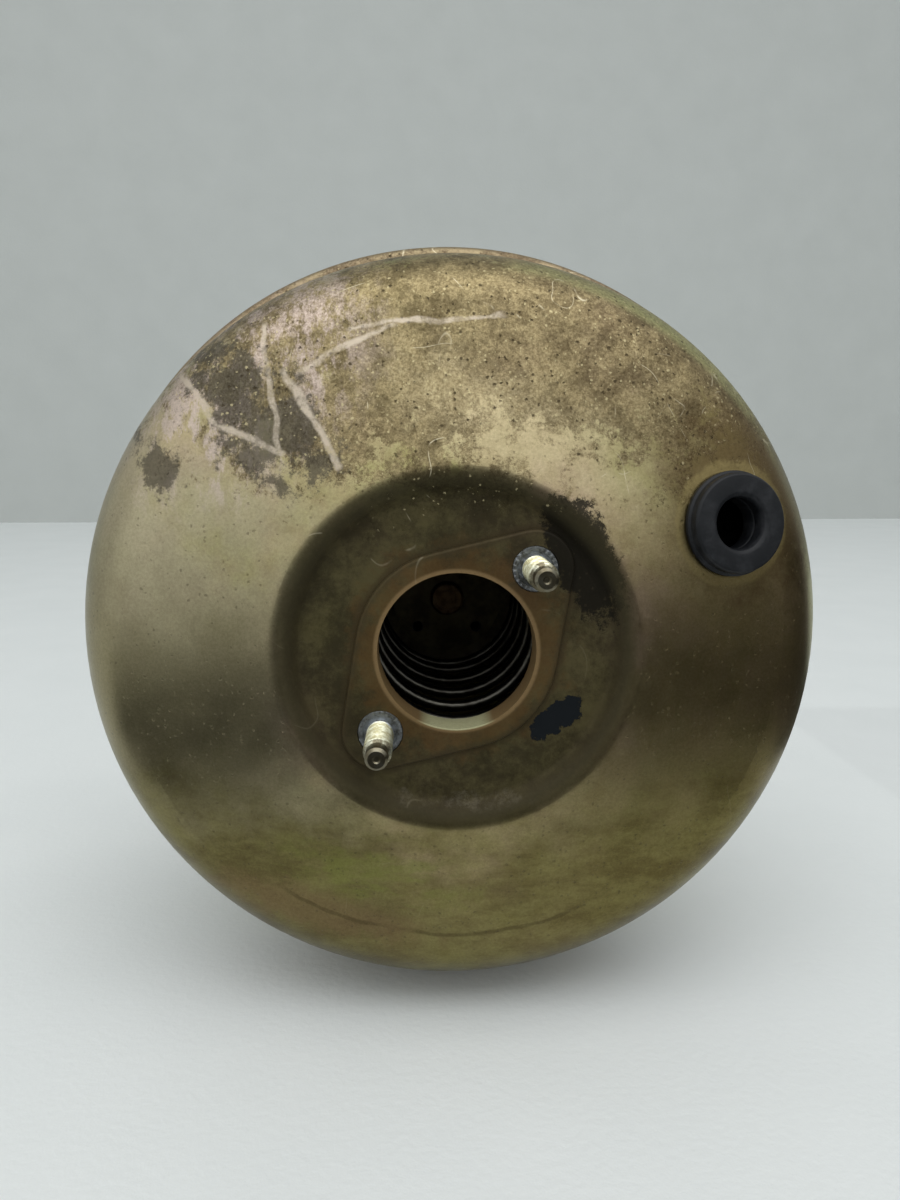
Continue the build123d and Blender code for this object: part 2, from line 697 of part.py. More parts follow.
# ---- Valve plunger: nose, key groove, ball socket and air seat in one turned piece ----
with BuildPart() as valve_plunger:
    groove_front_y = key_back_y - key_wall - slip_gap
    groove_back_y = key_back_y + slip_gap + input_travel
    with BuildSketch(Plane.XY):
        with BuildLine():
            Polyline(
                (0, plunger_nose_y),
                (plunger_radius - 1, plunger_nose_y),
                (plunger_radius, plunger_nose_y + 1),
                (plunger_radius, groove_front_y),
                (key_groove_radius, groove_front_y),
                (key_groove_radius, groove_back_y),
                (plunger_radius, groove_back_y),
                (plunger_radius, air_seat_back - air_seat_wall),
                (air_seat_radius, air_seat_back - air_seat_wall),
                (air_seat_radius, air_seat_back),
                (socket_mouth_radius, air_seat_back),
                (rod_neck_radius + socket_throat_gap, ball_depth + ball_radius + 1),
                (rod_neck_radius + socket_throat_gap, ball_depth),
                (0, ball_depth),
                close=True,
            )
        make_face()
    revolve(axis=Axis.Y)
    with Locations((0, ball_depth, 0)):
        Sphere(ball_radius + ball_fit, mode=Mode.SUBTRACT)
export(valve_plunger, "valve_plunger")

# ---- Poppet: rubber valve face, folding wall and mounting cuff ----
with BuildPart() as poppet:
    with BuildSketch(Plane.XY):
        with BuildLine():
            Polyline(
                (poppet_inner_radius, poppet_front_y),
                (poppet_outer_radius, poppet_front_y),
                (poppet_outer_radius, poppet_front_y + poppet_wall),
                (cuff_outer_radius, poppet_front_y + poppet_wall + 1),
                (cuff_outer_radius, poppet_front_y + poppet_length),
                (cuff_outer_radius - cuff_wall, poppet_front_y + poppet_length),
                (cuff_outer_radius - cuff_wall, poppet_front_y + poppet_wall + 1.6),
                (poppet_outer_radius - 1, poppet_front_y + poppet_wall),
                (poppet_inner_radius, poppet_front_y + poppet_wall),
                close=True,
            )
        make_face()
    revolve(axis=Axis.Y)
export(poppet, "poppet")

with BuildPart() as poppet_retainer:
    with BuildSketch(Plane.XY):
        with BuildLine():
            sleeve_radius = cuff_outer_radius - cuff_wall - press_gap
            Polyline(
                (sleeve_radius - retainer_wall, retainer_front_y),
                (sleeve_radius, retainer_front_y),
                (sleeve_radius, retainer_back_y),
                (retainer_hole_radius, retainer_back_y),
                (retainer_hole_radius, retainer_back_y - retainer_wall),
                (sleeve_radius - retainer_wall, retainer_back_y - retainer_wall),
                close=True,
            )
        make_face()
    revolve(axis=Axis.Y)
export(poppet_retainer, "poppet_retainer")


def coil_spring(name, start, end, radius, wire, turns):
    """Writes a small coil spring between two stations on the booster's axis."""
    with BuildPart() as spring:
        rise = end - start - 2 * (wire + press_gap)
        path = Helix(
            pitch=rise / turns,
            height=rise,
            radius=radius,
            center=(0, start + wire + press_gap, 0),
            direction=(0, 1, 0),
            mode=Mode.PRIVATE,
        )
        with BuildSketch(Plane(origin=path @ 0, x_dir=(1, 0, 0), z_dir=path % 0)):
            RegularPolygon(wire, 4)
        sweep(path=path, is_frenet=True)
    export(spring, name)


coil_spring(
    "poppet_spring",
    poppet_front_y + poppet_wall,
    retainer_back_y - retainer_wall,
    poppet_spring_radius,
    poppet_wire,
    poppet_spring_turns,
)
coil_spring(
    "rod_spring", retainer_back_y, rod_washer_depth, rod_spring_radius, rod_spring_wire, rod_spring_turns
)

# ---- Silencer and air filter in the end of the tube ----
silencer_start = rod_washer_depth + rod_washer_wall + 2
filter_start = silencer_start + silencer_height + seat_gap

with BuildPart() as silencer:
    with BuildSketch(facing_front(silencer_start)):
        Circle(tube_radius - tube_wall - seat_gap)
        Circle(filter_hole_radius, mode=Mode.SUBTRACT)
    extrude(amount=-silencer_height)
export(silencer, "silencer")

with BuildPart() as air_filter:
    with BuildSketch(facing_front(filter_start)):
        Circle(tube_radius - tube_wall - seat_gap)
        Circle(filter_hole_radius, mode=Mode.SUBTRACT)
    extrude(amount=-filter_height)
export(air_filter, "air_filter")

# ---- Input rod: ball end, necked shank, spring shoulder and threaded tail ----
with BuildPart() as input_rod:
    with BuildSketch(Plane.XY):
        with BuildLine():
            Polyline(
                (0, ball_depth),
                (rod_neck_radius, ball_depth),
                (rod_neck_radius, air_seat_back + 1),
                (rod_step_radius, air_seat_back + 2),
                (rod_step_radius, rod_washer_depth + rod_washer_wall),
                (rod_radius, rod_washer_depth + rod_washer_wall),
                (rod_radius, rod_end - 1),
                (rod_radius - 1, rod_end),
                (0, rod_end),
                close=True,
            )
        make_face()
    revolve(axis=Axis.Y)
    with Locations((0, ball_depth, 0)):
        Sphere(ball_radius)
export(input_rod, "input_rod")

with BuildPart() as rod_washer:
    with BuildSketch(facing_front(rod_washer_depth)):
        Circle(rod_spring_radius + rod_spring_wire + 0.6)
        Circle(rod_step_radius, mode=Mode.SUBTRACT)
    extrude(amount=-rod_washer_wall)
export(rod_washer, "rod_washer")

with BuildPart() as lock_nut:
    with BuildSketch(facing_front(nut_start)):
        RegularPolygon(nut_across_flats / 2, 6, major_radius=False)
        Circle(rod_radius, mode=Mode.SUBTRACT)
    extrude(amount=-nut_wall)
export(lock_nut, "lock_nut")

# ---- Clevis: a forged fork on the rod's thread, for the pedal's pin ----
with BuildPart() as clevis:
    socket_start = nut_start + nut_wall
    fork_start = socket_start + clevis_socket_length
    pin_y = fork_start + clevis_length - clevis_height / 2
    with BuildSketch(facing_front(socket_start)):
        Circle(clevis_socket_radius)
    extrude(amount=-clevis_socket_length)
    with BuildSketch(Plane.YZ):
        with Locations((fork_start, 0)):
            Rectangle(pin_y - fork_start, clevis_height, align=(Align.MIN, Align.CENTER))
        with Locations((pin_y, 0)):
            Circle(clevis_height / 2)
    extrude(amount=clevis_gap / 2 + clevis_ear_wall, both=True)
    with BuildSketch(Plane.YZ):
        with Locations((fork_start + clevis_ear_wall, 0)):
            Rectangle(clevis_length, clevis_height, align=(Align.MIN, Align.CENTER))
    extrude(amount=clevis_gap / 2, both=True, mode=Mode.SUBTRACT)
    with BuildSketch(Plane.YZ):
        with Locations((pin_y, 0)):
            Circle(clevis_pin_radius)
    extrude(amount=clevis_gap / 2 + clevis_ear_wall, both=True, mode=Mode.SUBTRACT)
    with BuildSketch(facing_front(socket_start)):
        Circle(rod_radius)
    extrude(amount=socket_start - rod_end, mode=Mode.SUBTRACT)
export(clevis, "clevis")

# ---- Dust boot: a rubber bellows from the shell's neck to the input rod ----
with BuildPart() as dust_boot:
    neck_cuff_radius = neck_inner_radius + shell_wall + slip_gap + boot_wall
    rod_cuff_radius = rod_radius + slip_gap + boot_wall
    fold_start = neck_length + 1
    fold_pitch = (boot_fold_end - fold_start) / boot_fold_count
    outside = [(neck_cuff_radius, neck_length - boot_cuff_length), (neck_cuff_radius, fold_start)]
    for fold in range(boot_fold_count):
        outside.append((boot_crest_radius, fold_start + (fold + 0.5) * fold_pitch))
        outside.append((boot_root_radius, fold_start + (fold + 1) * fold_pitch))
    outside.append((rod_cuff_radius, boot_rod_cuff_start))
    outside.append((rod_cuff_radius, boot_rod_cuff_end))
    inside = [(radius - boot_wall, y) for radius, y in reversed(outside)]
    with BuildSketch(Plane.XY):
        with BuildLine():
            Polyline(*outside, *inside, close=True)
        make_face()
    revolve(axis=Axis.Y)
export(dust_boot, "dust_boot")
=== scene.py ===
"""Looks of a worn nine-inch vacuum brake booster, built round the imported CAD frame.

Metres; the booster's axis is Y, its front faces -Y, +Z is up. Sizes inside a section are in
millimetres, and mm turns them into metres. The piston slides forward along -Y.
"""

import json
import math

import bpy
from mathutils import Matrix, Vector

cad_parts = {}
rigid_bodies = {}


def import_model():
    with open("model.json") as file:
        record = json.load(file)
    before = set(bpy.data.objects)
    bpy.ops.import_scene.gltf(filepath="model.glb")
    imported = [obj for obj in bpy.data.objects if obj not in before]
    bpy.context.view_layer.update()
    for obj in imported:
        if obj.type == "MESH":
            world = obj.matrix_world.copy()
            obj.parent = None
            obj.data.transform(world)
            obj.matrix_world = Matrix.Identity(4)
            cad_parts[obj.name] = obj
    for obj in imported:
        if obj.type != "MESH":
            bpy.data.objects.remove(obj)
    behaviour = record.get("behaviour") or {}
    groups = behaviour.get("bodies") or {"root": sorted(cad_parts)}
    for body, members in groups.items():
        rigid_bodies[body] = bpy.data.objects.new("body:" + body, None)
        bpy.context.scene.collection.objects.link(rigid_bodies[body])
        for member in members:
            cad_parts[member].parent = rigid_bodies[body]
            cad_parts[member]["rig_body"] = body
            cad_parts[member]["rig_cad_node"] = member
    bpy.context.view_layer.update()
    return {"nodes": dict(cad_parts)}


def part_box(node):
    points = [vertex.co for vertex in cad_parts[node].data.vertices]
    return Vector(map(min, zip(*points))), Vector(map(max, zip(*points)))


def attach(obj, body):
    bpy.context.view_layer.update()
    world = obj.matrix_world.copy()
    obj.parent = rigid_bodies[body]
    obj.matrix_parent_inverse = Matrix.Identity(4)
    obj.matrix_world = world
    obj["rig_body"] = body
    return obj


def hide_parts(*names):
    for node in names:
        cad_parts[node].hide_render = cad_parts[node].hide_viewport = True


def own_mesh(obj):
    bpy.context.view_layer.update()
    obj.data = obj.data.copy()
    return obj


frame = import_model()
nodes = frame["nodes"]
mm = 0.001

# ---- Camera ----
# Close in front of the booster and a little above its axis, looking slightly down into the bore.
camera_place = Vector((-0.0104, -0.3637, 0.0552))
camera_right = Vector((0.9994, -0.0332, 0.0054))
camera_forward = Vector((0.0336, 0.9862, -0.1618))
camera_up = camera_right.cross(camera_forward).normalized()
camera_data = bpy.data.cameras.new("camera")
camera_data.lens = 26.0
camera_data.sensor_width = 36.0
camera_data.clip_start = 0.01
camera = bpy.data.objects.new("camera", camera_data)
bpy.context.scene.collection.objects.link(camera)
camera_turn = Matrix((camera_right, camera_up, -camera_forward)).transposed().to_4x4()
camera.matrix_world = Matrix.Translation(camera_place) @ camera_turn
bpy.context.scene.camera = camera
bpy.context.scene.view_settings.view_transform = "Standard"

# ---- Floor and wall ----
# A matt pale floor that the booster's rim stands on, and a plain grey wall well behind it.
backdrop_size = 9.0
floor_height = -0.1262
wall_distance = 2.17
wall_turn = math.radians(6)


def feed(socket, value):
    """Gives a socket a number or colour that stays, or an output that changes over the surface."""
    if isinstance(value, bpy.types.NodeSocket):
        socket.id_data.links.new(value, socket)
    else:
        socket.default_value = (*value, 1.0) if socket.type == "RGBA" else value


def noise(place, scale, detail=4.0, roughness=0.55, stretch=None):
    """Cloudy noise round 0.5, with so many clouds to the millimetre."""
    tree = place.id_data
    if stretch:
        squeezed = tree.nodes.new("ShaderNodeVectorMath")
        squeezed.operation = "MULTIPLY"
        feed(squeezed.inputs[0], place)
        feed(squeezed.inputs[1], stretch)
        place = squeezed.outputs[0]
    cloud = tree.nodes.new("ShaderNodeTexNoise")
    feed(cloud.inputs["Vector"], place)
    feed(cloud.inputs["Scale"], scale)
    feed(cloud.inputs["Detail"], detail)
    feed(cloud.inputs["Roughness"], roughness)
    return cloud.outputs["Fac"]


def tint(share, first, second, blend="MIX"):
    """Mixes two colours by a share."""
    step = share.id_data.nodes.new("ShaderNodeMix")
    step.data_type = "RGBA"
    step.blend_type = blend
    for index, value in ((0, share), (6, first), (7, second)):
        feed(step.inputs[index], value)
    return step.outputs[2]


def new_finish(name, roughness=0.5, metallic=0.0):
    """Starts a material: returns it, its shader and Object coordinates in millimetres."""
    finish = bpy.data.materials.new(name)
    finish.use_nodes = True
    tree = finish.node_tree
    shader = tree.nodes["Principled BSDF"]
    shader.inputs["Roughness"].default_value = roughness
    shader.inputs["Metallic"].default_value = metallic
    scaled = tree.nodes.new("ShaderNodeVectorMath")
    scaled.operation = "SCALE"
    scaled.inputs["Scale"].default_value = 1000.0
    feed(scaled.inputs[0], tree.nodes.new("ShaderNodeTexCoord").outputs["Object"])
    return finish, shader, scaled.outputs[0]


def relief(shader, height, depth):
    """Raises and sinks the surface by a height, so many millimetres deep."""
    bump = shader.id_data.nodes.new("ShaderNodeBump")
    feed(bump.inputs["Strength"], 1.0)
    feed(bump.inputs["Distance"], depth * mm)
    feed(bump.inputs["Height"], height)
    feed(shader.inputs["Normal"], bump.outputs["Normal"])


def paint(shader, color):
    """Colours the surface."""
    feed(shader.inputs["Base Color"], color)


def dress(piece, finish):
    """Gives the whole piece one finish."""
    if not piece.data.materials:
        piece.data.materials.append(finish)
    for index in range(len(piece.data.materials)):
        piece.data.materials[index] = finish


bpy.ops.object.select_all(action="DESELECT")
floor_paint, shader, place = new_finish("floor_paint", roughness=0.6)
clouds = noise(place, 0.012, detail=5.0)
paint(shader, tint(clouds, (0.74, 0.77, 0.77), (0.81, 0.835, 0.835)))
relief(shader, noise(place, 0.35), 0.2)
bpy.ops.mesh.primitive_plane_add(size=backdrop_size, location=(0, 0, floor_height))
floor = bpy.context.object
floor.name = "floor"
dress(floor, floor_paint)

wall_paint, shader, place = new_finish("wall_paint", roughness=0.8)
clouds = noise(place, 0.01, detail=5.0)
paint(shader, tint(clouds, (0.455, 0.475, 0.46), (0.515, 0.535, 0.52)))
relief(shader, noise(place, 0.2), 0.3)
bpy.ops.mesh.primitive_plane_add(
    size=backdrop_size,
    location=(0, wall_distance, floor_height + backdrop_size / 2),
    rotation=(math.pi / 2, 0, wall_turn),
)
wall = bpy.context.object
wall.name = "wall"
dress(wall, wall_paint)

# ---- Light ----
# One large soft light above and in front, in a room that is bright overhead. Dark cards, seen only
# in reflections, stand for whoever stands in front of the booster and for the dim side of the room.
light_data = bpy.data.lights.new("soft_light", "AREA")
light_data.shape = "RECTANGLE"
light_data.size = 2.6
light_data.size_y = 1.6
light_data.energy = 22.0
light = bpy.data.objects.new("soft_light", light_data)
bpy.context.scene.collection.objects.link(light)
light_place = Vector((0.1, -0.9, 1.9))
light_turn = light_place.to_track_quat("Z", "Y").to_matrix().to_4x4()
light.matrix_world = Matrix.Translation(light_place) @ light_turn


def calc(operation, *values, clamp=False):
    """One step of arithmetic on values that change over the surface."""
    changing = next(value for value in values if isinstance(value, bpy.types.NodeSocket))
    step = changing.id_data.nodes.new("ShaderNodeMath")
    step.operation = operation
    step.use_clamp = clamp
    for socket, value in zip(step.inputs, values):
        feed(socket, value)
    return step.outputs[0]


def plus(first, second):
    return calc("ADD", first, second)


def fade(value, low, high, start=0.0, end=1.0):
    """Turns smoothly from start to end while a value goes from low to high."""
    step = value.id_data.nodes.new("ShaderNodeMapRange")
    step.interpolation_type = "SMOOTHSTEP"
    for index, given in enumerate((value, low, high, start, end)):
        feed(step.inputs[index], given)
    return step.outputs["Result"]


def coordinates(place):
    """The three coordinates of a place or direction."""
    split = place.id_data.nodes.new("ShaderNodeSeparateXYZ")
    feed(split.inputs[0], place)
    return split.outputs


room = bpy.data.worlds.new("room")
room.use_nodes = True
bpy.context.scene.world = room
direction = room.node_tree.nodes.new("ShaderNodeTexCoord").outputs["Generated"]
sideward, backward, upward = coordinates(direction)
overhead = fade(upward, -0.1, 0.8, 0.14, 0.6)
leftward = fade(sideward, -0.1, -0.95, 0.0, 0.2)
wallward = fade(backward, -0.2, 0.7, 0.0, 0.2)
frontward = fade(backward, -0.1, -0.8, 0.0, 0.5)
level = plus(plus(overhead, leftward), plus(wallward, frontward))
background = room.node_tree.nodes["Background"]
feed(background.inputs["Color"], (0.97, 1.0, 1.0))
feed(background.inputs["Strength"], level)

left_card_turn = math.radians(-40)
card_black, shader, place = new_finish("card_black", roughness=0.9)
paint(shader, tint(noise(place, 0.05), (0.015, 0.015, 0.015), (0.03, 0.03, 0.03)))
# The three floor cards are painted shade on the floor in front and beside, seen in reflections
# only.
for name, middle, turn, width, height in (
    ("front_card", (0.2, -1.0, -0.03), (math.pi / 2, 0, 0), 1.5, 0.2),
    ("side_card", (1.0, -0.4, 0.0), (math.pi / 2, 0, math.pi / 2), 1.3, 0.26),
    ("front_floor_card", (0.25, -0.61, floor_height + 0.002), (0, 0, 0), 1.0, 0.82),
    ("person_card", (0.0, -0.99, 0.1), (math.pi / 2, 0, 0), 0.4, 0.46),
    ("side_floor_card", (0.66, -0.15, floor_height + 0.002), (0, 0, 0), 0.82, 0.8),
    ("left_floor_card", (-0.31, -0.35, floor_height + 0.002), (0, 0, left_card_turn), 0.32, 0.42),
):
    bpy.ops.mesh.primitive_plane_add(size=1, location=middle, rotation=turn)
    card = bpy.context.object
    card.name = name
    card.scale = (width, height, 1)
    bpy.ops.object.transform_apply(location=False, rotation=False, scale=True)
    card.visible_camera = False
    card.visible_diffuse = False
    card.visible_shadow = False
    dress(card, card_black)

# ---- Front shell ----
# Deep-drawn steel in old yellow zinc plating: khaki and pink where it is clean, flaked and greasy
# at the upper left, pitted along the top, brown at the right and in the hub, olive at the bottom.
bore_radius, lip_radius, crease_radius, edge_radius = 23.6, 50.5, 92.5, 112.0
pad_turn = math.radians(47.3)
pad_big, pad_small, pad_reach = 29.5, 11.4, 32.8


def minus(first, second):
    return calc("SUBTRACT", first, second)


def times(first, second):
    return calc("MULTIPLY", first, second)


def length(first, second):
    """How far two lengths at a right angle reach together."""
    return calc("SQRT", plus(times(first, first), times(second, second)))


def turned_round(right, up, turn):
    """How far a place lies along a line that is turned from level, and how far beside it."""
    along = plus(times(right, math.cos(turn)), times(up, math.sin(turn)))
    beside = minus(times(up, math.cos(turn)), times(right, math.sin(turn)))
    return along, beside


def coat(color, mask, share, shade):
    """Lays a shade over a colour where a mask is, up to a share."""
    return tint(times(mask, share), color, shade)


def new_effect(name, inputs, *outputs):
    """Starts a group of shader nodes: inputs with start values, and outputs, by name."""
    effect = bpy.data.node_groups.new(name, "ShaderNodeTree")
    for label, start in inputs.items():
        kind = "NodeSocketVector" if start is None else "NodeSocketFloat"
        socket = effect.interface.new_socket(label, in_out="INPUT", socket_type=kind)
        if start is not None:
            socket.default_value = start
    for label in outputs:
        kind = "NodeSocketColor" if label == "Color" else "NodeSocketFloat"
        effect.interface.new_socket(label, in_out="OUTPUT", socket_type=kind)
    given = effect.nodes.new("NodeGroupInput").outputs
    return effect, given, effect.nodes.new("NodeGroupOutput").inputs


def apply_effect(effect, **values):
    """Places an effect in a material with its own values, and returns its outputs."""
    placed = values["Place"].id_data.nodes.new("ShaderNodeGroup")
    placed.node_tree = effect
    for label, value in values.items():
        feed(placed.inputs[label], value)
    return placed.outputs


# Pitting: bright grains of bared metal, small dark pits, fine grain, and the height of all three.
pitting, given, result = new_effect(
    "pitting", {"Place": None, "Grain": 1.0, "Amount": 0.5}, "Bright", "Dark", "Fine", "Height"
)
fine = pitting.nodes.new("ShaderNodeTexNoise")
feed(fine.inputs["Vector"], given["Place"])
feed(fine.inputs["Scale"], calc("DIVIDE", 0.7, given["Grain"]))
fine.inputs["Detail"].default_value = 6.0
fine.inputs["Roughness"].default_value = 0.8
fine_height = fine.outputs["Fac"]
ragged_place = pitting.nodes.new("ShaderNodeVectorMath")
ragged_place.operation = "MULTIPLY_ADD"
feed(ragged_place.inputs[0], fine.outputs["Color"])
ragged_place.inputs[1].default_value = (1.6, 1.6, 1.6)
feed(ragged_place.inputs[2], given["Place"])
spots = {}
for label, density, grow in (("Bright", 0.42, 0.42), ("Dark", 0.33, 0.36)):
    cells = pitting.nodes.new("ShaderNodeTexVoronoi")
    feed(cells.inputs["Vector"], ragged_place.outputs[0])
    feed(cells.inputs["Scale"], calc("DIVIDE", density, given["Grain"]))
    chance = pitting.nodes.new("ShaderNodeSeparateColor")
    feed(chance.inputs[0], cells.outputs["Color"])
    size = plus(chance.outputs[0], minus(given["Amount"], 1.0))
    edge = minus(times(size, grow), cells.outputs["Distance"])
    spots[label] = calc("MULTIPLY", edge, 14.0, clamp=True)
    feed(result[label], spots[label])
feed(result["Fine"], fade(fine_height, 0.36, 0.64))
raised = plus(fine_height, times(spots["Bright"], 0.3))
feed(result["Height"], minus(raised, spots["Dark"]))

# Hairline scratches: thin wandering lines, drawn where a smooth noise crosses its middle.
hairlines, given, result = new_effect(
    "hairlines", {"Place": None, "Spread": 30.0, "Width": 0.006}, "Lines"
)
wander = hairlines.nodes.new("ShaderNodeTexNoise")
feed(wander.inputs["Vector"], given["Place"])
feed(wander.inputs["Scale"], calc("DIVIDE", 1.0, given["Spread"]))
wander.inputs["Detail"].default_value = 0.6
off = calc("ABSOLUTE", minus(wander.outputs["Fac"], 0.5))
off = calc("DIVIDE", off, given["Width"])
line = calc("SUBTRACT", 1.0, off, clamp=True)
kept = fade(noise(given["Place"], 0.07, 3.0), 0.56, 0.62)
feed(result["Lines"], times(line, kept))

# Old yellow zinc: soft clouds of khaki, olive, tan and pink with a fine brown mottle.
old_zinc, given, result = new_effect("old_zinc", {"Place": None}, "Color")
clouds = old_zinc.nodes.new("ShaderNodeValToRGB")
feed(clouds.inputs[0], noise(given["Place"], 0.022, 5.0, 0.6))
clouds.color_ramp.elements[0].position = 0.36
clouds.color_ramp.elements[0].color = (0.40, 0.37, 0.15, 1)
clouds.color_ramp.elements[1].position = 0.66
clouds.color_ramp.elements[1].color = (0.56, 0.42, 0.29, 1)
clouds.color_ramp.elements.new(0.46).color = (0.49, 0.43, 0.225, 1)
clouds.color_ramp.elements.new(0.56).color = (0.53, 0.43, 0.245, 1)
mottle = fade(noise(given["Place"], 0.11, 6.0, 0.65), 0.42, 0.7, 0.0, 0.45)
feed(result["Color"], tint(mottle, clouds.outputs[0], (0.27, 0.20, 0.09)))

shell_finish, shader, place = new_finish("shell_finish", roughness=0.4, metallic=1.0)
across, _, upward = coordinates(place)
radius = length(across, upward)
broad = minus(noise(place, 0.03, 5.0, 0.6), 0.5)
ragged = minus(noise(place, 0.16, 7.0, 0.72), 0.5)


def patch(x, z, wide, tall, turn, tear):
    """How far out a place is in an oval patch at x, z: 0 in its middle and 1 at its edge, which
    lies so wide and tall of the middle, is turned by degrees, and is torn by ragged noise."""
    right, up = minus(across, x), minus(upward, z)
    along, beside = turned_round(right, up, math.radians(turn))
    along, beside = calc("DIVIDE", along, wide), calc("DIVIDE", beside, tall)
    return plus(length(along, beside), times(ragged, tear))


color = apply_effect(old_zinc, Place=place)["Color"]
grit = apply_effect(pitting, Place=place, Grain=0.6, Amount=0.8)

# Round the drum: pale khaki at the left, golden brown at the right, dull olive below.
soft_up = plus(upward, times(broad, 90.0))
soft_across = plus(across, times(broad, 90.0))
left_part = fade(plus(soft_across, times(soft_up, 0.35)), -25.0, -75.0)
color = coat(color, left_part, 0.7, (0.53, 0.47, 0.335))
left_low = times(left_part, fade(soft_up, 50.0, -15.0, 0.0, 0.85))
color = tint(left_low, color, (0.27, 0.235, 0.13))
right_part = fade(minus(soft_across, times(soft_up, 0.2)), 25.0, 75.0)
color = coat(color, right_part, 0.8, (0.24, 0.185, 0.08))
low_part = fade(soft_up, -26.0, -68.0)
streaks = fade(noise(place, 0.06, 10.0, 0.78, stretch=(0.6, 1, 1.3)), 0.36, 0.64)
low_color = tint(streaks, (0.105, 0.082, 0.024), (0.205, 0.18, 0.062))
color = coat(color, low_part, 0.85, low_color)
greened = fade(patch(-26, -70, 34, 15, -8, 1.6), 1.2, 0.3)
clumps = noise(place, 0.09, 7.0, 0.68, stretch=(0.5, 1, 1.3))
greened = times(greened, fade(clumps, 0.42, 0.6))
color = coat(color, greened, 0.6, (0.20, 0.21, 0.055))
rosy = fade(patch(-42, -84, 40, 9, -16, 1.6), 1.2, 0.4)
color = coat(color, rosy, 0.6, (0.20, 0.135, 0.07))

# Upper part: plating worn through to brown, solid at the top and in flakes and specks along its
# edges, darkest at its left end, with pale pink smears left over it.
crumbs = noise(place, 0.075, 12.0, 0.86)
kept_plating = fade(patch(22, 60, 40, 14, -28, 2.4), 1.5, 0.1)
worn_reach = plus(patch(4, 85, 98, 44, -4, 0.0), times(kept_plating, 0.42))
worn = fade(plus(crumbs, times(minus(1.0, worn_reach), 0.3)), 0.5, 0.57)
worn_grain = fade(noise(place, 0.1, 12.0, 0.9), 0.42, 0.6)
worn_color = tint(worn_grain, (0.17, 0.13, 0.07), (0.47, 0.38, 0.21))
color = coat(color, worn, 0.9, worn_color)
kept_plating = times(kept_plating, fade(crumbs, 0.4, 0.6, 0.75, 0.3))
color = tint(kept_plating, color, (0.66, 0.56, 0.34))
smears = fade(noise(place, 0.06, 10.0, 0.84, stretch=(1.5, 1, 0.7)), 0.47, 0.56)
smeared = fade(patch(-60, 78, 46, 30, 45, 0.7), 1.2, 0.5)
smears = times(smears, smeared)
color = coat(color, smears, 0.85, (0.68, 0.56, 0.49))
flake = patch(-57, 68, 30, 15, -45, 0.0)
chip = patch(-87, 53, 11, 6, -60, 0.8)
inwards = minus(1.0, calc("MINIMUM", flake, chip))
darkest = plus(noise(place, 0.085, 10.0, 0.8), times(inwards, 0.2))
darkest = fade(darkest, 0.5, 0.58)
color = coat(color, darkest, 0.85, (0.115, 0.10, 0.073))
specks = fade(plus(crumbs, times(broad, 0.35)), 0.66, 0.7)
color = coat(color, specks, 0.75, (0.12, 0.10, 0.06))
brow = fade(plus(radius, times(broad, 8.0)), 113.0, 118.0)
color = coat(color, brow, 0.7, (0.33, 0.25, 0.17))
edge_band = fade(calc("ABSOLUTE", minus(radius, edge_radius)), 4.0, 0.8)
edge_band = times(edge_band, fade(soft_across, 10.0, 50.0, 0.0, 0.65))
color = tint(times(edge_band, fade(soft_up, -40.0, 20.0)), color, (0.56, 0.56, 0.27))

# Hub: brown dirt baked on right out over its lip, thickest towards the lip, and rust-brown round
# the bore. Its dark tone is partly painted shade, for the dark room in front that it reflects.
hub = fade(plus(radius, times(ragged, 3.0)), 54.0, 49.0)
dirt_and_shade = fade(noise(place, 0.07, 10.0, 0.78), 0.38, 0.64)
hub_color = tint(dirt_and_shade, (0.022, 0.017, 0.006), (0.074, 0.062, 0.025))
rust = fade(plus(radius, times(ragged, 34.0)), 35.0, 24.0)
hub_color = coat(hub_color, rust, 0.7, (0.085, 0.042, 0.011))
caked = times(fade(radius, 42.0, 49.0), fade(soft_up, 60.0, 0.0))
hub_color = coat(hub_color, caked, 0.8, (0.022, 0.016, 0.007))

# A dark line along the foot of the pad, partly grease and partly painted shade in that corner. The
# pad is a big disc drawn out to a small one at each stud; the gap is how far outside its edge a
# place lies.
pad_lean = (pad_big - pad_small) / pad_reach
out_along, out_beside = (calc("ABSOLUTE", out) for out in turned_round(across, upward, pad_turn))
lean = times(out_beside, pad_lean / math.sqrt(1 - pad_lean**2))
share = calc("DIVIDE", minus(out_along, lean), pad_reach, clamp=True)
gap_along = minus(out_along, times(share, pad_reach))
pad_gap = length(gap_along, out_beside)
pad_gap = plus(pad_gap, times(share, pad_big - pad_small))
pad_gap = minus(pad_gap, pad_big)
grease_and_shade = calc("ABSOLUTE", plus(pad_gap, times(ragged, 5.0)))
grease_and_shade = fade(grease_and_shade, 2.6, 0.4)
hub_color = coat(hub_color, grease_and_shade, 0.7, (0.04, 0.028, 0.012))

# The bore: a rubbed edge, and bright plating low down inside it, partly a painted highlight of
# the light that falls in there.
bore_edge = fade(radius, bore_radius + 1.0, bore_radius)
hub_color = coat(hub_color, bore_edge, 0.7, (0.26, 0.17, 0.08))
bore_plating_and_highlight = times(fade(radius, bore_radius, 23.2), fade(upward, -20.0, -22.0))
hub_color = tint(bore_plating_and_highlight, hub_color, (0.58, 0.57, 0.34))
color = coat(color, hub, 0.96, hub_color)
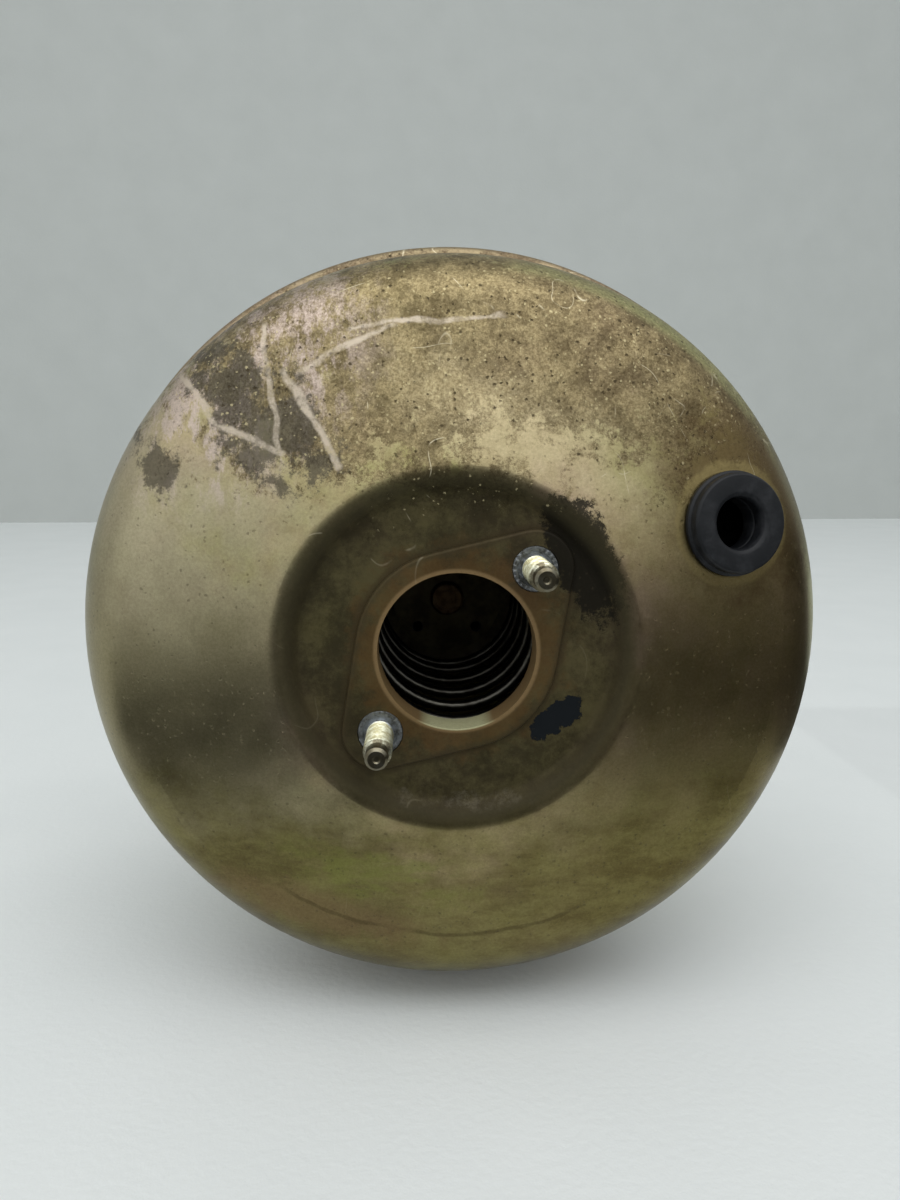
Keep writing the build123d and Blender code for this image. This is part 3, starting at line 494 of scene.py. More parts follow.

# On the hub and below it: a black oil stain, two dabs of black paint, a pale crust, a dark line in
# a crease of the drum, and a ring of painted shade along the lip.
inwards = minus(1.0, patch(36, 27, 8.5, 20, 22, 0.0))
stain = plus(noise(place, 0.13, 10.0, 0.84), times(inwards, 0.36))
stain = fade(stain, 0.48, 0.55)
color = coat(color, stain, 0.95, (0.012, 0.010, 0.006))
paint_dab = calc(
    "MAXIMUM",
    fade(patch(31.5, -18.5, 5.2, 4.4, 10, 2.6), 1.04, 0.96),
    fade(patch(27.0, -22.0, 4.8, 4.0, 50, 2.6), 1.04, 0.96),
)
crust = fade(patch(3, -45, 20, 3.0, 0, 3.4), 1.1, 0.6)
crust = times(crust, fade(crumbs, 0.45, 0.6))
color = coat(color, crust, 0.4, (0.16, 0.14, 0.10))
# Painted shade: a dark ring along the lip of the hub.
painted_lip_shade = fade(calc("ABSOLUTE", minus(radius, lip_radius)), 4.5, 0.5)
color = coat(color, painted_lip_shade, 0.7, (0.05, 0.042, 0.02))
crease = plus(minus(radius, crease_radius), times(broad, 6.0))
crease = calc("ABSOLUTE", crease)
crease = times(fade(crease, 1.1, 0.3), fade(soft_up, -72.0, -88.0))
color = coat(color, crease, 0.5, (0.08, 0.06, 0.025))

# Round the grommet: a bright ring, a painted highlight on the edge of its seat, and red-brown
# grease outside it.
grommet_grease = fade(patch(86, 44, 30, 26, -50, 1.6), 1.3, 0.6)
grommet_seat_highlight = fade(patch(80.5, 36.7, 17.0, 17.6, 24, 0.3), 1.1, 1.0)
color = coat(color, grommet_grease, 0.65, (0.14, 0.09, 0.042))
color = coat(color, grommet_seat_highlight, 0.45, (0.46, 0.37, 0.16))

# Grain, pits and bared grains, strongest where the plating is worn, and hairline scratches.
coarse = plus(0.4, times(worn, 0.6))
coarse = times(coarse, minus(1.0, times(hub, 0.3)))
grained = tint(grit["Fine"], (0.45, 0.42, 0.38), (1.0, 1.0, 1.0))
color = tint(times(coarse, 0.85), color, grained, blend="MULTIPLY")
color = coat(color, times(grit["Bright"], worn), 0.55, (0.72, 0.62, 0.36))
color = coat(color, times(grit["Dark"], coarse), 0.8, (0.07, 0.052, 0.028))
scratched = apply_effect(hairlines, Place=place, Spread=26.0, Width=0.0034)["Lines"]
scratched = times(scratched, fade(upward, 20.0, 50.0, 0.05, 0.8))
curled = apply_effect(hairlines, Place=place, Spread=13.0, Width=0.005)["Lines"]
curled = times(curled, fade(patch(45, 82, 60, 34, -35, 0.5), 1.2, 0.8, 0.0, 0.6))
color = tint(calc("MAXIMUM", scratched, curled), color, (0.78, 0.70, 0.50))

# Scrapes at the upper left: pale strokes where something was dragged over the plating.
wobble = times(minus(noise(place, 0.035, 2.0), 0.5), 12.0)
scrapes = None
for start_x, start_z, end_x, end_z, width in (
    (-80, 79, -67, 65, 1.1), (-67, 65, -49, 56, 1.2), (-54, 92, -50, 57, 0.9),
    (-48, 80, -43, 70, 1.6), (-43, 70, -32, 53, 1.2), (-30, 92, 12, 96, 1.0),
    (-45, 80, -18, 92, 1.3),
):
    reach = math.hypot(end_x - start_x, end_z - start_z)
    turn = math.atan2(end_z - start_z, end_x - start_x)
    right = minus(across, (start_x + end_x) / 2)
    up = minus(upward, (start_z + end_z) / 2)
    along_it, beside_it = turned_round(right, up, turn)
    beside_it = calc("ABSOLUTE", plus(beside_it, wobble))
    beside_it = plus(beside_it, times(ragged, 2.8))
    ends = fade(calc("ABSOLUTE", along_it), reach * 0.56, reach * 0.48)
    scrape = times(fade(beside_it, width * 1.2, width * 0.3), ends)
    scrapes = scrape if scrapes is None else calc("MAXIMUM", scrapes, scrape)
scrapes = times(scrapes, fade(crumbs, 0.4, 0.56, 0.25, 0.9))
color = tint(scrapes, color, (0.62, 0.53, 0.42))
paint(shader, tint(paint_dab, color, (0.005, 0.007, 0.009)))

soiled = calc("MAXIMUM", times(stain, 0.7), times(grease_and_shade, times(hub, 0.5)))
soiled = calc("MAXIMUM", soiled, times(darkest, 0.2))
soiled = calc("MAXIMUM", soiled, times(hub, fade(bore_plating_and_highlight, 0.0, 1.0, 0.65, 0.5)))
feed(shader.inputs["Metallic"], minus(1.0, calc("MAXIMUM", soiled, paint_dab)))
rough = plus(0.24, times(noise(place, 0.09, 5.0), 0.2))
rough = plus(rough, times(hub, 0.22))
rough = plus(rough, times(brow, 0.15))
rough = plus(rough, times(worn, 0.14))
feed(shader.inputs["Roughness"], plus(rough, times(paint_dab, 0.1)))
shader.inputs["Specular IOR Level"].default_value = 0.15
surface = times(grit["Height"], coarse)
surface = minus(surface, times(worn, 0.5))
relief(shader, plus(surface, paint_dab), 0.09)
dress(nodes["front_shell"], shell_finish)

# ---- Stud plate and front spring seat ----
# Pressed steel rings behind the hub, zinc plated: one stiffens it, and the other centres the
# return spring.
plate_zinc, shader, place = new_finish("plate_zinc", roughness=0.4, metallic=1.0)
color = apply_effect(old_zinc, Place=place)["Color"]
grit = apply_effect(pitting, Place=place, Grain=1.3, Amount=0.3)
color = coat(color, grit["Bright"], 0.3, (0.74, 0.66, 0.44))
color = coat(color, grit["Dark"], 0.4, (0.14, 0.11, 0.06))
paint(shader, color)
relief(shader, grit["Height"], 0.04)
for name in ("stud_plate", "spring_seat"):
    dress(nodes[name], plate_zinc)

# ---- Master cylinder studs ----
# Two cold-formed steel studs, swaged into the middle of the pad's two lobes: serrated collar,
# rolled M8 thread, dog point ahead.
stud_radius, stud_pitch = 4.0, 1.25
collar_steps, collar_face, notch_depth = 96, -119.8, 0.16
weld, smooth_angle = 0.001 * mm, math.radians(35)


def open_all():
    """Opens the active piece for editing, with all of it selected."""
    bpy.ops.object.mode_set(mode="EDIT")
    bpy.ops.mesh.select_all(action="SELECT")


def start_point(name, place):
    """Starts a piece as a single point, left open for editing."""
    bpy.ops.object.select_all(action="DESELECT")
    bpy.ops.mesh.primitive_plane_add(size=mm)
    piece = bpy.context.object
    piece.name = name
    open_all()
    bpy.ops.mesh.merge(type="CENTER")
    bpy.ops.transform.translate(value=place)
    return piece


def close_up(angle=smooth_angle):
    """Merges doubles, faces the surface outwards and shades it smooth up to an angle."""
    bpy.ops.mesh.select_all(action="SELECT")
    bpy.ops.mesh.remove_doubles(threshold=weld)
    bpy.ops.mesh.normals_make_consistent(inside=False)
    bpy.ops.object.mode_set(mode="OBJECT")
    bpy.ops.object.shade_smooth_by_angle(angle=angle)


def turned(name, profile, steps=64, round_off=0.0, centre=(0, 0, 0), axis=(0, 1, 0)):
    """Turns a piece from a profile of radius and station in mm: drawn point by point, then spun."""
    axis = Vector(axis).normalized()
    side = axis.orthogonal().normalized()
    line = [Vector(centre) + (side * radius + axis * station) * mm for radius, station in profile]
    piece = start_point(name, line[0])
    for before, after in zip(line, line[1:]):
        bpy.ops.mesh.extrude_region_move(TRANSFORM_OT_translate={"value": after - before})
    bpy.ops.mesh.select_all(action="SELECT")
    bpy.ops.mesh.remove_doubles(threshold=weld)
    if round_off:
        bpy.ops.mesh.bevel(offset=round_off * mm, segments=3, affect="VERTICES", clamp_overlap=True)
    bpy.ops.mesh.select_all(action="SELECT")
    bpy.ops.mesh.spin(steps=steps, angle=2 * math.pi, center=centre, axis=axis)
    close_up()
    return piece


def threaded(name, radius, pitch, start, end, lead_in):
    """Rolls a right-hand thread about Y between two stations in mm, cut square at both and tapered
    at the lead-in. Its profile goes by half a root, a flank, the crest, a flank and half a root."""
    root = radius - 0.6 * pitch
    rise = pitch * mm
    piece = start_point(name, (root * mm, start * mm - 1.5 * rise, 0))
    depth = radius - root
    for climb, share in ((0, 0.06), (depth, 0.37), (0, 0.14), (-depth, 0.37), (0, 0.06)):
        step = (climb * mm, share * rise, 0)
        bpy.ops.mesh.extrude_region_move(TRANSFORM_OT_translate={"value": step})
    bpy.ops.object.mode_set(mode="OBJECT")
    roll = piece.modifiers.new("roll", "SCREW")
    roll.axis = "Y"
    roll.screw_offset = rise
    roll.iterations = math.ceil((end - start) / pitch) + 3
    roll.steps = roll.render_steps = 32
    roll.use_merge_vertices = True
    bpy.ops.object.modifier_apply(modifier="roll")
    open_all()
    bpy.ops.mesh.remove_doubles(threshold=weld)
    for station, ahead in ((start, True), (end, False)):
        bpy.ops.mesh.select_all(action="SELECT")
        bpy.ops.mesh.bisect(
            plane_co=(0, station * mm, 0),
            plane_no=(0, 1, 0),
            use_fill=True,
            clear_inner=ahead,
            clear_outer=not ahead,
        )
    bpy.ops.mesh.select_all(action="SELECT")
    bpy.ops.mesh.normals_make_consistent(inside=False)
    bpy.ops.object.mode_set(mode="OBJECT")
    for vertex in piece.data.vertices:
        gap = abs(vertex.co.y / mm - lead_in)
        reach = math.hypot(vertex.co.x, vertex.co.z) / mm
        limit = root - 0.1 + gap
        if reach > limit:
            vertex.co.x *= limit / reach
            vertex.co.z *= limit / reach
    bpy.ops.object.shade_smooth_by_angle(angle=smooth_angle)
    return piece


def pick(*pieces):
    """Selects just these objects, and makes the first one active."""
    bpy.ops.object.select_all(action="DESELECT")
    for piece in pieces:
        piece.select_set(True)
    bpy.context.view_layer.objects.active = pieces[0]


def join(first, *others):
    """Joins pieces into the first one."""
    pick(first, *others)
    bpy.ops.object.join()
    return first


def moved(piece, offset):
    """Moves a piece's mesh, leaving its object at the origin."""
    pick(piece)
    open_all()
    bpy.ops.transform.translate(value=offset)
    bpy.ops.object.mode_set(mode="OBJECT")


def copied(piece, name):
    """Copies a piece with its own mesh."""
    pick(piece)
    bpy.ops.object.duplicate()
    copy = bpy.context.object
    copy.name = name
    return copy


def clouded(name, roughness, metallic, clouds, edge, shades, grain, depth):
    """A finish of two shades in clouds, over a fine grain so deep, both as noise takes them."""
    finish, shader, place = new_finish(name, roughness, metallic)
    share = fade(noise(place, *clouds), *edge)
    paint(shader, tint(share, *shades))
    relief(shader, noise(place, *grain), depth)
    return finish


thread_finish, shader, place = new_finish("thread_finish", roughness=0.33, metallic=1.0)
worn = fade(noise(place, 0.35, 5.0, 0.65), 0.42, 0.62)
color = tint(worn, (0.50, 0.46, 0.27), (0.80, 0.80, 0.62))
_, station, _ = coordinates(place)
tip = fade(plus(station, times(worn, 2.5)), -134.0, -137.5)
paint(shader, coat(color, tip, 0.85, (0.12, 0.10, 0.07)))
relief(shader, noise(place, 2.0, 3.0), 0.05)

collar_finish = clouded(
    "collar_finish", roughness=0.42, metallic=1.0, clouds=(0.5, 5.0, 0.65), edge=(0.4, 0.66),
    shades=((0.50, 0.53, 0.56), (0.22, 0.22, 0.20)), grain=(1.5, 4.0), depth=0.06,
)

stud_thread = threaded("stud_thread", stud_radius, stud_pitch, -138.5, -121.4, lead_in=-138.5)
dress(stud_thread, thread_finish)
stud_point = turned(
    "stud_point",
    [(0, -138), (3.2, -138), (3.2, -142.2), (2.4, -143), (1.1, -143), (0.7, -142.6), (0, -142.6)],
    steps=32,
)
dress(stud_point, thread_finish)
stud_collar = turned(
    "master_cylinder_stud_1",
    [
        (0, -115), (6.5, -115), (6.5, -117.2), (4, -117.2), (4, -118.2), (6.6, -118.2),
        (6.6, -119.7), (6.4, -119.9), (5.5, -119.9), (5.15, -119.75), (5.0, -119.3), (4.1, -119.25),
        (3.95, -119.5), (3.95, -120.7), (3.35, -121.2), (3.35, -122), (0, -122),
    ],
    steps=collar_steps,
)
dress(stud_collar, collar_finish)
# The serrations: every fourth step of the collar's face is pressed in.
bpy.ops.object.mode_set(mode="EDIT")
bpy.ops.mesh.select_all(action="DESELECT")
bpy.ops.object.mode_set(mode="OBJECT")
for vertex in stud_collar.data.vertices:
    reach = math.hypot(vertex.co.x, vertex.co.z) / mm
    step = round(math.atan2(vertex.co.x, vertex.co.z) / (2 * math.pi) * collar_steps)
    vertex.select = step % 4 == 0 and 5.3 < reach < 6.5 and vertex.co.y < collar_face * mm
bpy.ops.object.mode_set(mode="EDIT")
bpy.ops.transform.translate(value=(0, notch_depth * mm, 0))
bpy.ops.object.mode_set(mode="OBJECT")
stud = join(stud_collar, stud_thread, stud_point)
stud_place = Vector((math.cos(pad_turn), 0, math.sin(pad_turn))) * pad_reach * mm
second_stud = copied(stud, "master_cylinder_stud_2")
moved(stud, stud_place)
moved(second_stud, -stud_place)
for piece in (stud, second_stud):
    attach(piece, "housing")
    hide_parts("master_cylinder_studs")

# ---- Vacuum grommet ----
# Black moulded rubber, snapped into its hole square to the slope of the shell. The servo hose's
# elbow pushes into its bore. It has a barb inside, a flange on the skin, and a groove for the wall.
grommet_centre = Vector((80.4932, -113.1125, 36.6824)) * mm
grommet_slope = math.radians(14.4)
grommet_angle = math.radians(24.5)
grommet_normal = Vector((
    math.cos(grommet_angle) * math.sin(grommet_slope),
    -math.cos(grommet_slope),
    math.sin(grommet_angle) * math.sin(grommet_slope),
))

rubber, shader, place = new_finish("rubber", roughness=0.5)
dusty = fade(noise(place, 0.12, 7.0, 0.7), 0.45, 0.7)
paint(shader, tint(dusty, (0.007, 0.008, 0.010), (0.020, 0.021, 0.024)))
feed(shader.inputs["Roughness"], fade(dusty, 0.0, 1.0, 0.5, 0.68))
shader.inputs["Specular IOR Level"].default_value = 0.3
relief(shader, noise(place, 1.2, 4.0), 0.05)

grommet = turned(
    "vacuum_grommet_rubber",
    [
        (7.5, -5.8), (10.6, -5.8), (13.2, -3.2), (13.2, -2.2), (10.9, -2.2), (10.9, 0.1),
        (15.4, 0.1), (15.4, 1.5), (14.6, 1.9), (14.5, 4.2), (13.9, 5.0), (8.9, 5.0), (7.9, 4.5),
        (7.5, 3.4), (7.5, 0.4), (7.9, 0.1), (7.9, -0.5), (7.5, -0.8), (7.5, -5.8),
    ],
    steps=96,
    round_off=0.35,
    centre=grommet_centre,
    axis=grommet_normal,
)
dress(grommet, rubber)
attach(grommet, "housing")
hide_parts("vacuum_grommet")

# ---- Rear shell and firewall plate ----
# The second pressing, held by the tabs of the first one's rolled rim. It is plated in the same way
# and much cleaner, and has its stiffening ring inside.
rear_zinc, shader, place = new_finish("rear_zinc", roughness=0.38, metallic=1.0)
color = apply_effect(old_zinc, Place=place)["Color"]
grit = apply_effect(pitting, Place=place, Grain=1.3, Amount=0.35)
color = coat(color, grit["Bright"], 0.35, (0.78, 0.69, 0.44))
color = coat(color, grit["Dark"], 0.6, (0.13, 0.10, 0.05))
lines = apply_effect(hairlines, Place=place, Spread=42.0, Width=0.004)["Lines"]
color = coat(color, lines, 0.4, (0.80, 0.72, 0.52))
paint(shader, color)
feed(shader.inputs["Roughness"], fade(noise(place, 0.07, 5.0), 0.3, 0.7, 0.3, 0.5))
relief(shader, grit["Height"], 0.05)
for name in ("rear_shell", "firewall_plate"):
    dress(nodes[name], rear_zinc)

# ---- Firewall studs ----
# Four M8 steel studs, zinc plated and pressed through plate and shell from inside, their splined
# heads against the plate.
firewall_across, firewall_up = 42.5, 35
firewall_stud = turned(
    "firewall_stud_1",
    [
        (0, -6), (6, -6), (6.5, -5.5), (6.5, -3.8), (4.4, -3.8), (4.4, 0), (3.95, 0.4), (3.95, 3.4),
        (3.35, 3.8), (3.35, 5), (0, 5),
    ],
    steps=48,
)
dress(firewall_stud, collar_finish)
firewall_thread = threaded("firewall_thread", stud_radius, stud_pitch, 3.8, 26, lead_in=26)
plated_thread = clouded(
    "plated_thread", roughness=0.34, metallic=1.0, clouds=(0.4, 5.0, 0.65), edge=(0.42, 0.62),
    shades=((0.44, 0.38, 0.18), (0.68, 0.62, 0.38)), grain=(2.0, 3.0), depth=0.05,
)
dress(firewall_thread, plated_thread)
firewall_stud = join(firewall_stud, firewall_thread)
firewall_studs = [firewall_stud]
for count in (2, 3, 4):
    firewall_studs.append(copied(firewall_stud, f"firewall_stud_{count}"))
for piece, (side, height) in zip(firewall_studs, ((1, 1), (-1, 1), (-1, -1), (1, -1))):
    moved(piece, Vector((side * firewall_across, 0, height * firewall_up)) * mm)
    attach(piece, "housing")
    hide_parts("firewall_studs")

# ---- Guide bearing, seal and ring in the neck ----
# A moulded plastic bearing that the piston's tube slides in, a lipped rubber seal behind it, and a
# pressed steel ring that keeps both in the neck.
black_plastic, shader, place = new_finish("black_plastic", roughness=0.4)
clouds = noise(place, 0.3, 5.0)
paint(shader, tint(clouds, (0.012, 0.012, 0.013), (0.022, 0.022, 0.023)))
relief(shader, noise(place, 3.0, 3.0), 0.02)
dress(nodes["guide_bearing"], black_plastic)
dress(nodes["neck_ring"], rear_zinc)
neck_seal = turned(
    "neck_seal_rubber",
    [
        (25.06, 6), (30.9, 6), (30.9, 12), (29.5, 12), (29.3, 7.7), (26.7, 7.7), (26.4, 10.8),
        (25.06, 12), (25.06, 6),
    ],
    steps=96,
    round_off=0.3,
)
dress(neck_seal, rubber)
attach(neck_seal, "housing")
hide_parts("neck_seal")

# ---- Valve body and diaphragm plate ----
# The piston: compression-moulded phenolic with fine filler specks, and a pressed and plated
# steel dish.
phenolic = clouded(
    "phenolic", roughness=0.45, metallic=0.0, clouds=(1.4, 4.0, 0.7), edge=(0.52, 0.62),
    shades=((0.012, 0.010, 0.009), (0.030, 0.024, 0.019)), grain=(2.0, 3.0), depth=0.03,
)
dress(nodes["valve_body"], phenolic)
dress(nodes["diaphragm_plate"], plate_zinc)

# ---- Diaphragm ----
# Black fabric-faced rubber: the disc and its rolling fold go with the piston, and the web and bead
# are clamped in the rim.
plate_back = -12.8
web_front = -50.3
fold_centre, fold_steps = 106.1, 12
fold_outside, fold_inside = (
    [
        (fold_centre - size * math.cos(math.pi * step / fold_steps),
         web_front - size * math.sin(math.pi * step / fold_steps))
        for step in range(fold_steps + 1)
    ]
    for size in (6.8, 4.8)
)
diaphragm_disc = turned(
    "diaphragm_disc",
    [
        (31.3, plate_back + 0.3), (58.4, plate_back + 0.3), (99.3, plate_back - 19.9),
        *fold_outside, *reversed(fold_inside),
        (101.3, plate_back - 18.7), (58.8, plate_back + 2.3), (31.3, plate_back + 2.3),
        (31.3, plate_back + 0.3),
    ],
    steps=128,
)
diaphragm_bead = turned(
    "diaphragm_bead",
    [
        (110.9, web_front), (118.2, web_front), (118.2, -54.5), (122.6, -54.5), (122.6, -48.1),
        (118.2, -48.1), (118.2, web_front + 2), (110.9, web_front + 2), (110.9, web_front),
    ],
    steps=128,
    round_off=0.5,
)
for piece, body in ((diaphragm_disc, "power_piston"), (diaphragm_bead, "housing")):
    dress(piece, rubber)
    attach(piece, body)
    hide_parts("diaphragm")

# ---- Reaction disc, output pushrod and cap ----
# A rubber disc behind the turned steel pushrod's head. A pressed and plated cap holds both in the
# valve body.
disc_front, disc_back = -15.4, -10.5
tarnished_steel = clouded(
    "tarnished_steel", roughness=0.42, metallic=1.0, clouds=(0.25, 6.0, 0.65), edge=(0.4, 0.62),
    shades=((0.30, 0.20, 0.12), (0.16, 0.095, 0.055)), grain=(1.5, 4.0), depth=0.04,
)
dress(nodes["output_pushrod"], tarnished_steel)
dark_zinc = clouded(
    "dark_zinc", roughness=0.45, metallic=1.0, clouds=(0.1, 6.0, 0.65), edge=(0.4, 0.64),
    shades=((0.20, 0.17, 0.10), (0.09, 0.075, 0.05)), grain=(1.2, 4.0), depth=0.04,
)
dress(nodes["pushrod_cap"], dark_zinc)
reaction_disc = turned(
    "reaction_disc_rubber",
    [(0, disc_front), (12, disc_front), (12, disc_back), (0, disc_back)],
    steps=64,
    round_off=0.8,
)
moved(reaction_disc, (0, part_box("reaction_disc")[0].y - disc_front * mm, 0))
dress(reaction_disc, rubber)
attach(reaction_disc, "power_piston")
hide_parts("reaction_disc")

# ---- Return spring ----
# Oil-tempered wire coiled cold, its end coils closed. It pushes the piston back from the front
# seat.
coil_steps = 40  # to a turn


def coiled(name, radius, wire, start, end, turns):
    """Coils round wire about Y between two stations in mm. Each end coil is closed for three
    quarters of a turn, and opens to the full rise in half a turn more."""
    count = int(turns * coil_steps)
    bpy.ops.object.select_all(action="DESELECT")
    bpy.ops.curve.primitive_nurbs_path_add()
    coil = bpy.context.object
    coil.data.splines.clear()
    spline = coil.data.splines.new("POLY")
    spline.points.add(count)
    closed = 2.1 * wire
    rise = (end - start - 2 * wire - 2 * closed) / (turns - 2)
    station = start + wire
    for index in range(count + 1):
        turn = turns * index / count
        angle = 2 * math.pi * turn
        across, upward = radius * mm * math.sin(angle), radius * mm * math.cos(angle)
        spline.points[index].co = (across, station * mm, upward, 1)
        ease = min(1.0, max(0.0, min(turn, turns - turn) - 0.75) / 0.5)
        ease = ease * ease * (3 - 2 * ease)
        station += (closed + (rise - closed) * ease) * turns / count
    coil.data.bevel_depth = wire * mm
    coil.data.bevel_resolution = 4
    coil.data.use_fill_caps = True
    bpy.ops.object.convert(target="MESH")
    piece = bpy.context.object
    piece.name = name
    bpy.ops.object.mode_set(mode="EDIT")
    close_up(angle=math.radians(40))
    return piece


spring_steel = clouded(
    "spring_steel", roughness=0.3, metallic=1.0, clouds=(0.15, 5.0, 0.6), edge=(0.4, 0.65),
    shades=((0.11, 0.105, 0.09), (0.05, 0.045, 0.038)), grain=(1.5, 4.0), depth=0.03,
)
return_spring = coiled("return_spring_wire", 27.0, 1.9, -113.7, -18.3, 7.0)
dress(return_spring, spring_steel)
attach(return_spring, "housing")
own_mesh(return_spring)
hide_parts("return_spring")

# ---- Valve plunger and stop key ----
# The plunger is turned from bright steel. The key is a flat steel fork round it, blanked, that
# also stops the piston on the rear shell.
bright_steel = clouded(
    "bright_steel", roughness=0.28, metallic=1.0, clouds=(0.3, 5.0), edge=(0.4, 0.66),
    shades=((0.56, 0.56, 0.55), (0.38, 0.37, 0.35)), grain=(1.5, 4.0, 0.55, (1, 6, 1)), depth=0.02,
)
for name in ("valve_plunger", "stop_key"):
    dress(nodes[name], bright_steel)

# ---- Poppet, its retainer and its spring ----
# A moulded rubber valve face on a folding wall, its cuff gripped by a pressed steel sleeve. A fine
# coil spring pushes it forward on its seat.
poppet = turned(
    "poppet_rubber",
    [
        (8.6, 11.3), (17, 11.3), (17, 13.6), (20.9, 14.9), (20.9, 21), (18.5, 21), (18.5, 15.6),
        (16, 13.9), (8.6, 13.8), (8.6, 11.3),
    ],
    steps=96,
    round_off=0.35,
)
dress(poppet, rubber)
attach(poppet, "power_piston")
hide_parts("poppet")
dress(nodes["poppet_retainer"], bright_steel)
poppet_spring = coiled("poppet_spring_wire", 12.5, 0.5, 13.9, 22.7, 4.0)
dress(poppet_spring, bright_steel)
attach(poppet_spring, "power_piston")
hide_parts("poppet_spring")

# ---- Rod spring and its washer ----
# A light coil spring between the retainer and a steel washer on the rod. It gives as the rod goes
# in, and brings the rod back.
rod_spring = coiled("rod_spring_wire", 11.0, 0.75, 24.1, 35.2, 4.5)
dress(rod_spring, bright_steel)
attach(rod_spring, "power_piston")
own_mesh(rod_spring)
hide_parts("rod_spring")
dress(nodes["rod_washer"], bright_steel)

# ---- Silencer and air filter ----
# A punched felt ring, and behind it a ring of open black foam, pushed into the end of the tube.
# The air that drives the piston comes in through both.
felt, shader, place = new_finish("felt", roughness=0.95)
fibres = noise(place, 1.1, 6.0, 0.75, stretch=(1, 2.2, 1))
fibre_share = fade(fibres, 0.35, 0.65)
paint(shader, tint(fibre_share, (0.16, 0.15, 0.13), (0.36, 0.34, 0.30)))
relief(shader, fibres, 0.5)
foam, shader, place = new_finish("foam", roughness=0.95)
cells = place.id_data.nodes.new("ShaderNodeTexVoronoi")
feed(cells.inputs["Vector"], place)
feed(cells.inputs["Scale"], 1.1)
wall_share = fade(cells.outputs["Distance"], 0.15, 0.6)
paint(shader, tint(wall_share, (0.006, 0.006, 0.006), (0.035, 0.035, 0.036)))
relief(shader, cells.outputs["Distance"], 0.8)
for name, start, height, finish, slot in (
    ("silencer", 39.2, 4.0, felt, "felt"),
    ("air_filter", 43.5, 6.2, foam, "foam"),
):
    ring = turned(
        f"{name}_ring",
        [(8.2, start), (20.7, start), (20.7, start + height), (8.2, start + height), (8.2, start)],
        steps=96,
        round_off=0.7,
    )
    dress(ring, finish)
    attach(ring, "power_piston")
    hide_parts(name)

# ---- Input rod ----
# Turned steel: a ball in the plunger's socket, a neck, a shoulder for the washer, and a tail with
# a rolled thread for the nut and the clevis.
ball_radius, ball_middle = 5, 3
ball = []
for step in range(14):
    angle = math.radians(10 * step)
    ball.append((ball_radius * math.sin(angle), ball_middle - ball_radius * math.cos(angle)))
input_rod = turned(
    "input_rod_shank",
    [
        *ball,
        (3.6, 7.2), (3.6, 12), (4.4, 13), (4.4, 37.2), (4.9, 37.2), (5, 37.4), (5, 83), (4.2, 84),
        (4.2, 86), (0, 86),
    ],
    steps=48,
)
dress(input_rod, bright_steel)
rod_thread = threaded("rod_thread", 5.0, 1.5, 84.5, 106, lead_in=106)
dress(rod_thread, bright_steel)
input_rod = join(input_rod, rod_thread)
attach(input_rod, "input_rod")
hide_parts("input_rod")

# ---- Dust boot ----
# Moulded rubber: a cuff over the shell's neck, folds that close up as the piston goes in, and a
# small beaded cuff that grips the rod, its flange behind the end wall's hole so that it can tilt.
boot_cuff = turned(
    "boot_neck_cuff",
    [
        (33.0, 7), (34.6, 7), (35, 7.6), (35, 9), (34.4, 9.6), (34.4, 12.4), (35, 13), (35, 17.2),
        (33.0, 17.2), (33.0, 7),
    ],
    steps=128,
    round_off=0.3,
)
fold_start, fold_end, fold_count, steps_each = 17.0, 56.0, 5, 10
crest, root, boot_wall = 37.0, 29.5, 2.0
outside = [(35.0, fold_start)]
# The folds sway as a wave does, with broader crests and roots. A domed end wall comes after them,
# round the hole for the small cuff.
for step in range(1, steps_each * fold_count + 1):
    sway = math.cos(2 * math.pi * (step / steps_each - 0.5))
    sway = sway / (0.62 + 0.38 * abs(sway))
    reach = (crest + root) / 2 + (crest - root) / 2 * sway
    station = fold_start + (fold_end - fold_start) * step / (steps_each * fold_count)
    outside.append((reach, station))
inside = [(radius - boot_wall, station) for radius, station in reversed(outside)]
outside += [(28.2, 57.2), (24.6, 61.5), (21.6, 64.4), (18.6, 65.9), (12, 66.2), (11.4, 65.6)]
inside = [(11.4, 64.8), (12, 64.2), (17.8, 64), (20.1, 62.8), (22.8, 60.2), (26.2, 56.4), *inside]
boot_bellows = turned("boot_bellows", [*outside, *inside, outside[0]], steps=128)
boot_tail = turned(
    "boot_rod_cuff",
    [
        (5.2, 61), (15.4, 61), (16, 62.3), (15, 62.9), (7.4, 63.2), (7.2, 70.8), (8.8, 71.6),
        (8.8, 72.8), (7.2, 73.6), (7.2, 75.4), (7.9, 76), (7.9, 77.4), (7.2, 78), (5.2, 78),
        (5.2, 61),
    ],
    steps=64,
    round_off=0.25,
)
for piece, body in ((boot_cuff, "housing"), (boot_bellows, "housing"), (boot_tail, "input_rod")):
    dress(piece, rubber)
    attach(piece, body)
    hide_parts("dust_boot")
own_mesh(boot_bellows)

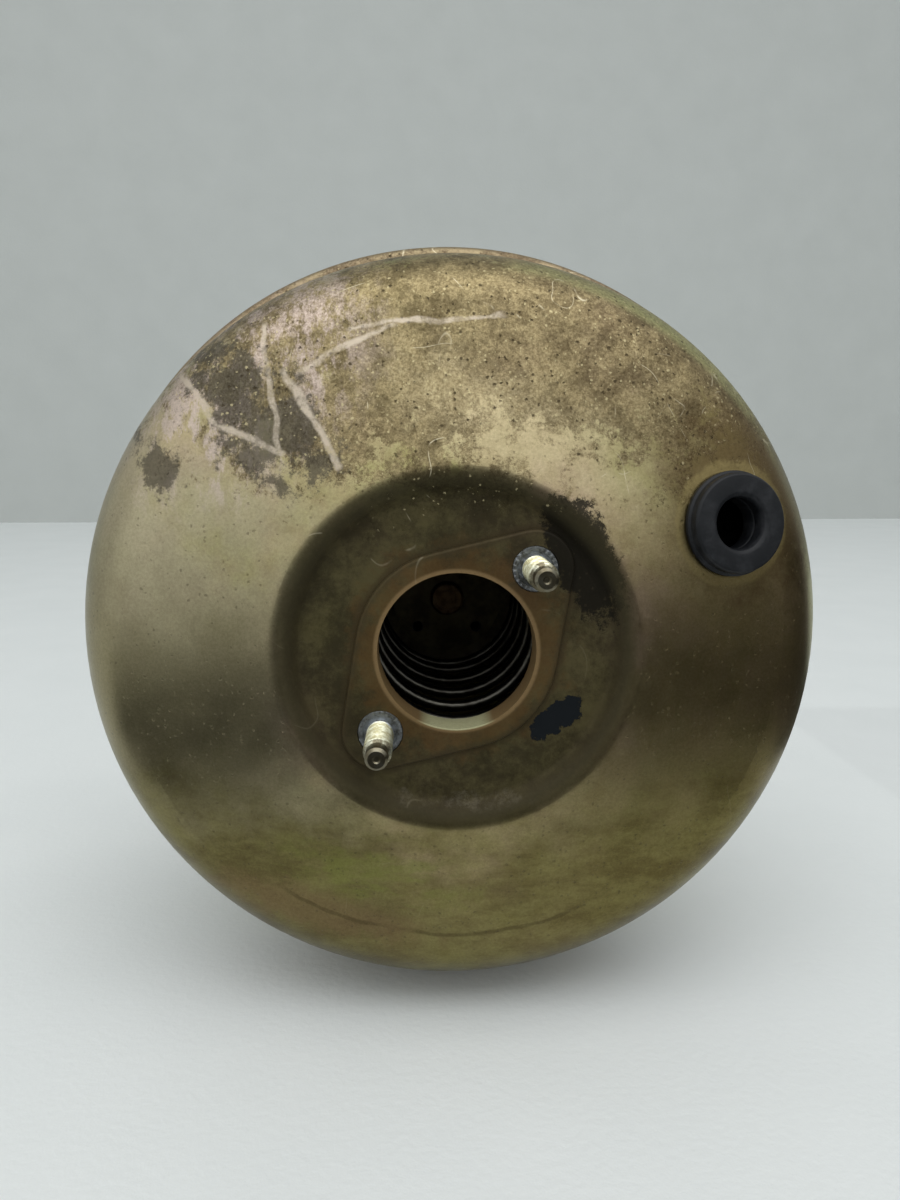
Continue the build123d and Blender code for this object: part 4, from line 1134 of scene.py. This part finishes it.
# ---- Lock nut ----
# An M10 half nut, 17 mm across flats, zinc plated, its corners turned off at both ends. It locks
# the clevis on the rod.
nut_start, nut_wall, nut_flats = 94.0, 6.0, 17.0
nut_end = nut_start + nut_wall
nut_corner = nut_flats / math.sqrt(3)
nut_face, nut_chamfer, nut_bore, nut_mouth = 8.1, 1.05, 5.05, 6.4
bpy.ops.object.select_all(action="DESELECT")
bpy.ops.mesh.primitive_cylinder_add(
    vertices=6,
    radius=nut_corner * mm,
    depth=nut_wall * mm,
    location=(0, (nut_start + nut_wall / 2) * mm, 0),
    rotation=(math.pi / 2, math.radians(30), 0),
)
lock_nut = bpy.context.object
lock_nut.name = "lock_nut_hex"
bpy.ops.object.transform_apply(location=True, rotation=True, scale=True)
nut_turning = turned(
    "nut_turning",
    [
        (0, nut_start), (nut_face, nut_start), (nut_corner + 0.2, nut_start + nut_chamfer),
        (nut_corner + 0.2, nut_end - nut_chamfer), (nut_face, nut_end), (0, nut_end),
    ],
    steps=96,
)
nut_hole = turned(
    "nut_hole",
    [
        (0, nut_start - 1), (nut_mouth, nut_start - 1), (nut_bore, nut_start + 0.5),
        (nut_bore, nut_end - 0.5), (nut_mouth, nut_end + 1), (0, nut_end + 1),
    ],
    steps=64,
)
pick(lock_nut)
for tool, operation in ((nut_turning, "INTERSECT"), (nut_hole, "DIFFERENCE")):
    cut = lock_nut.modifiers.new("cut", "BOOLEAN")
    cut.operation = operation
    cut.object = tool
    cut.solver = "EXACT"
    bpy.ops.object.modifier_apply(modifier="cut")
    bpy.data.objects.remove(tool)
bpy.ops.object.shade_smooth_by_angle(angle=math.radians(25))
dress(lock_nut, plate_zinc)
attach(lock_nut, "input_rod")
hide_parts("lock_nut")

# ---- Clevis ----
# A forged steel fork, zinc plated, screwed on the rod and locked by the nut. Its edges are broken.
# The copy of the CAD's fork is a new piece, so it drops the marks of its node and body.
clevis = copied(nodes["clevis"], "clevis_fork")
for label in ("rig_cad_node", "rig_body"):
    del clevis[label]
clevis.parent = None
open_all()
bpy.ops.mesh.remove_doubles(threshold=weld)
bpy.ops.mesh.dissolve_limited(angle_limit=math.radians(1))
bpy.ops.object.mode_set(mode="OBJECT")
edges = clevis.modifiers.new("edges", "BEVEL")
edges.width = 0.7 * mm
edges.segments = 3
edges.limit_method = "ANGLE"
edges.angle_limit = math.radians(50)
bpy.ops.object.modifier_apply(modifier="edges")
bpy.ops.object.shade_smooth_by_angle(angle=smooth_angle)
dress(clevis, plate_zinc)
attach(clevis, "input_rod")
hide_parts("clevis")
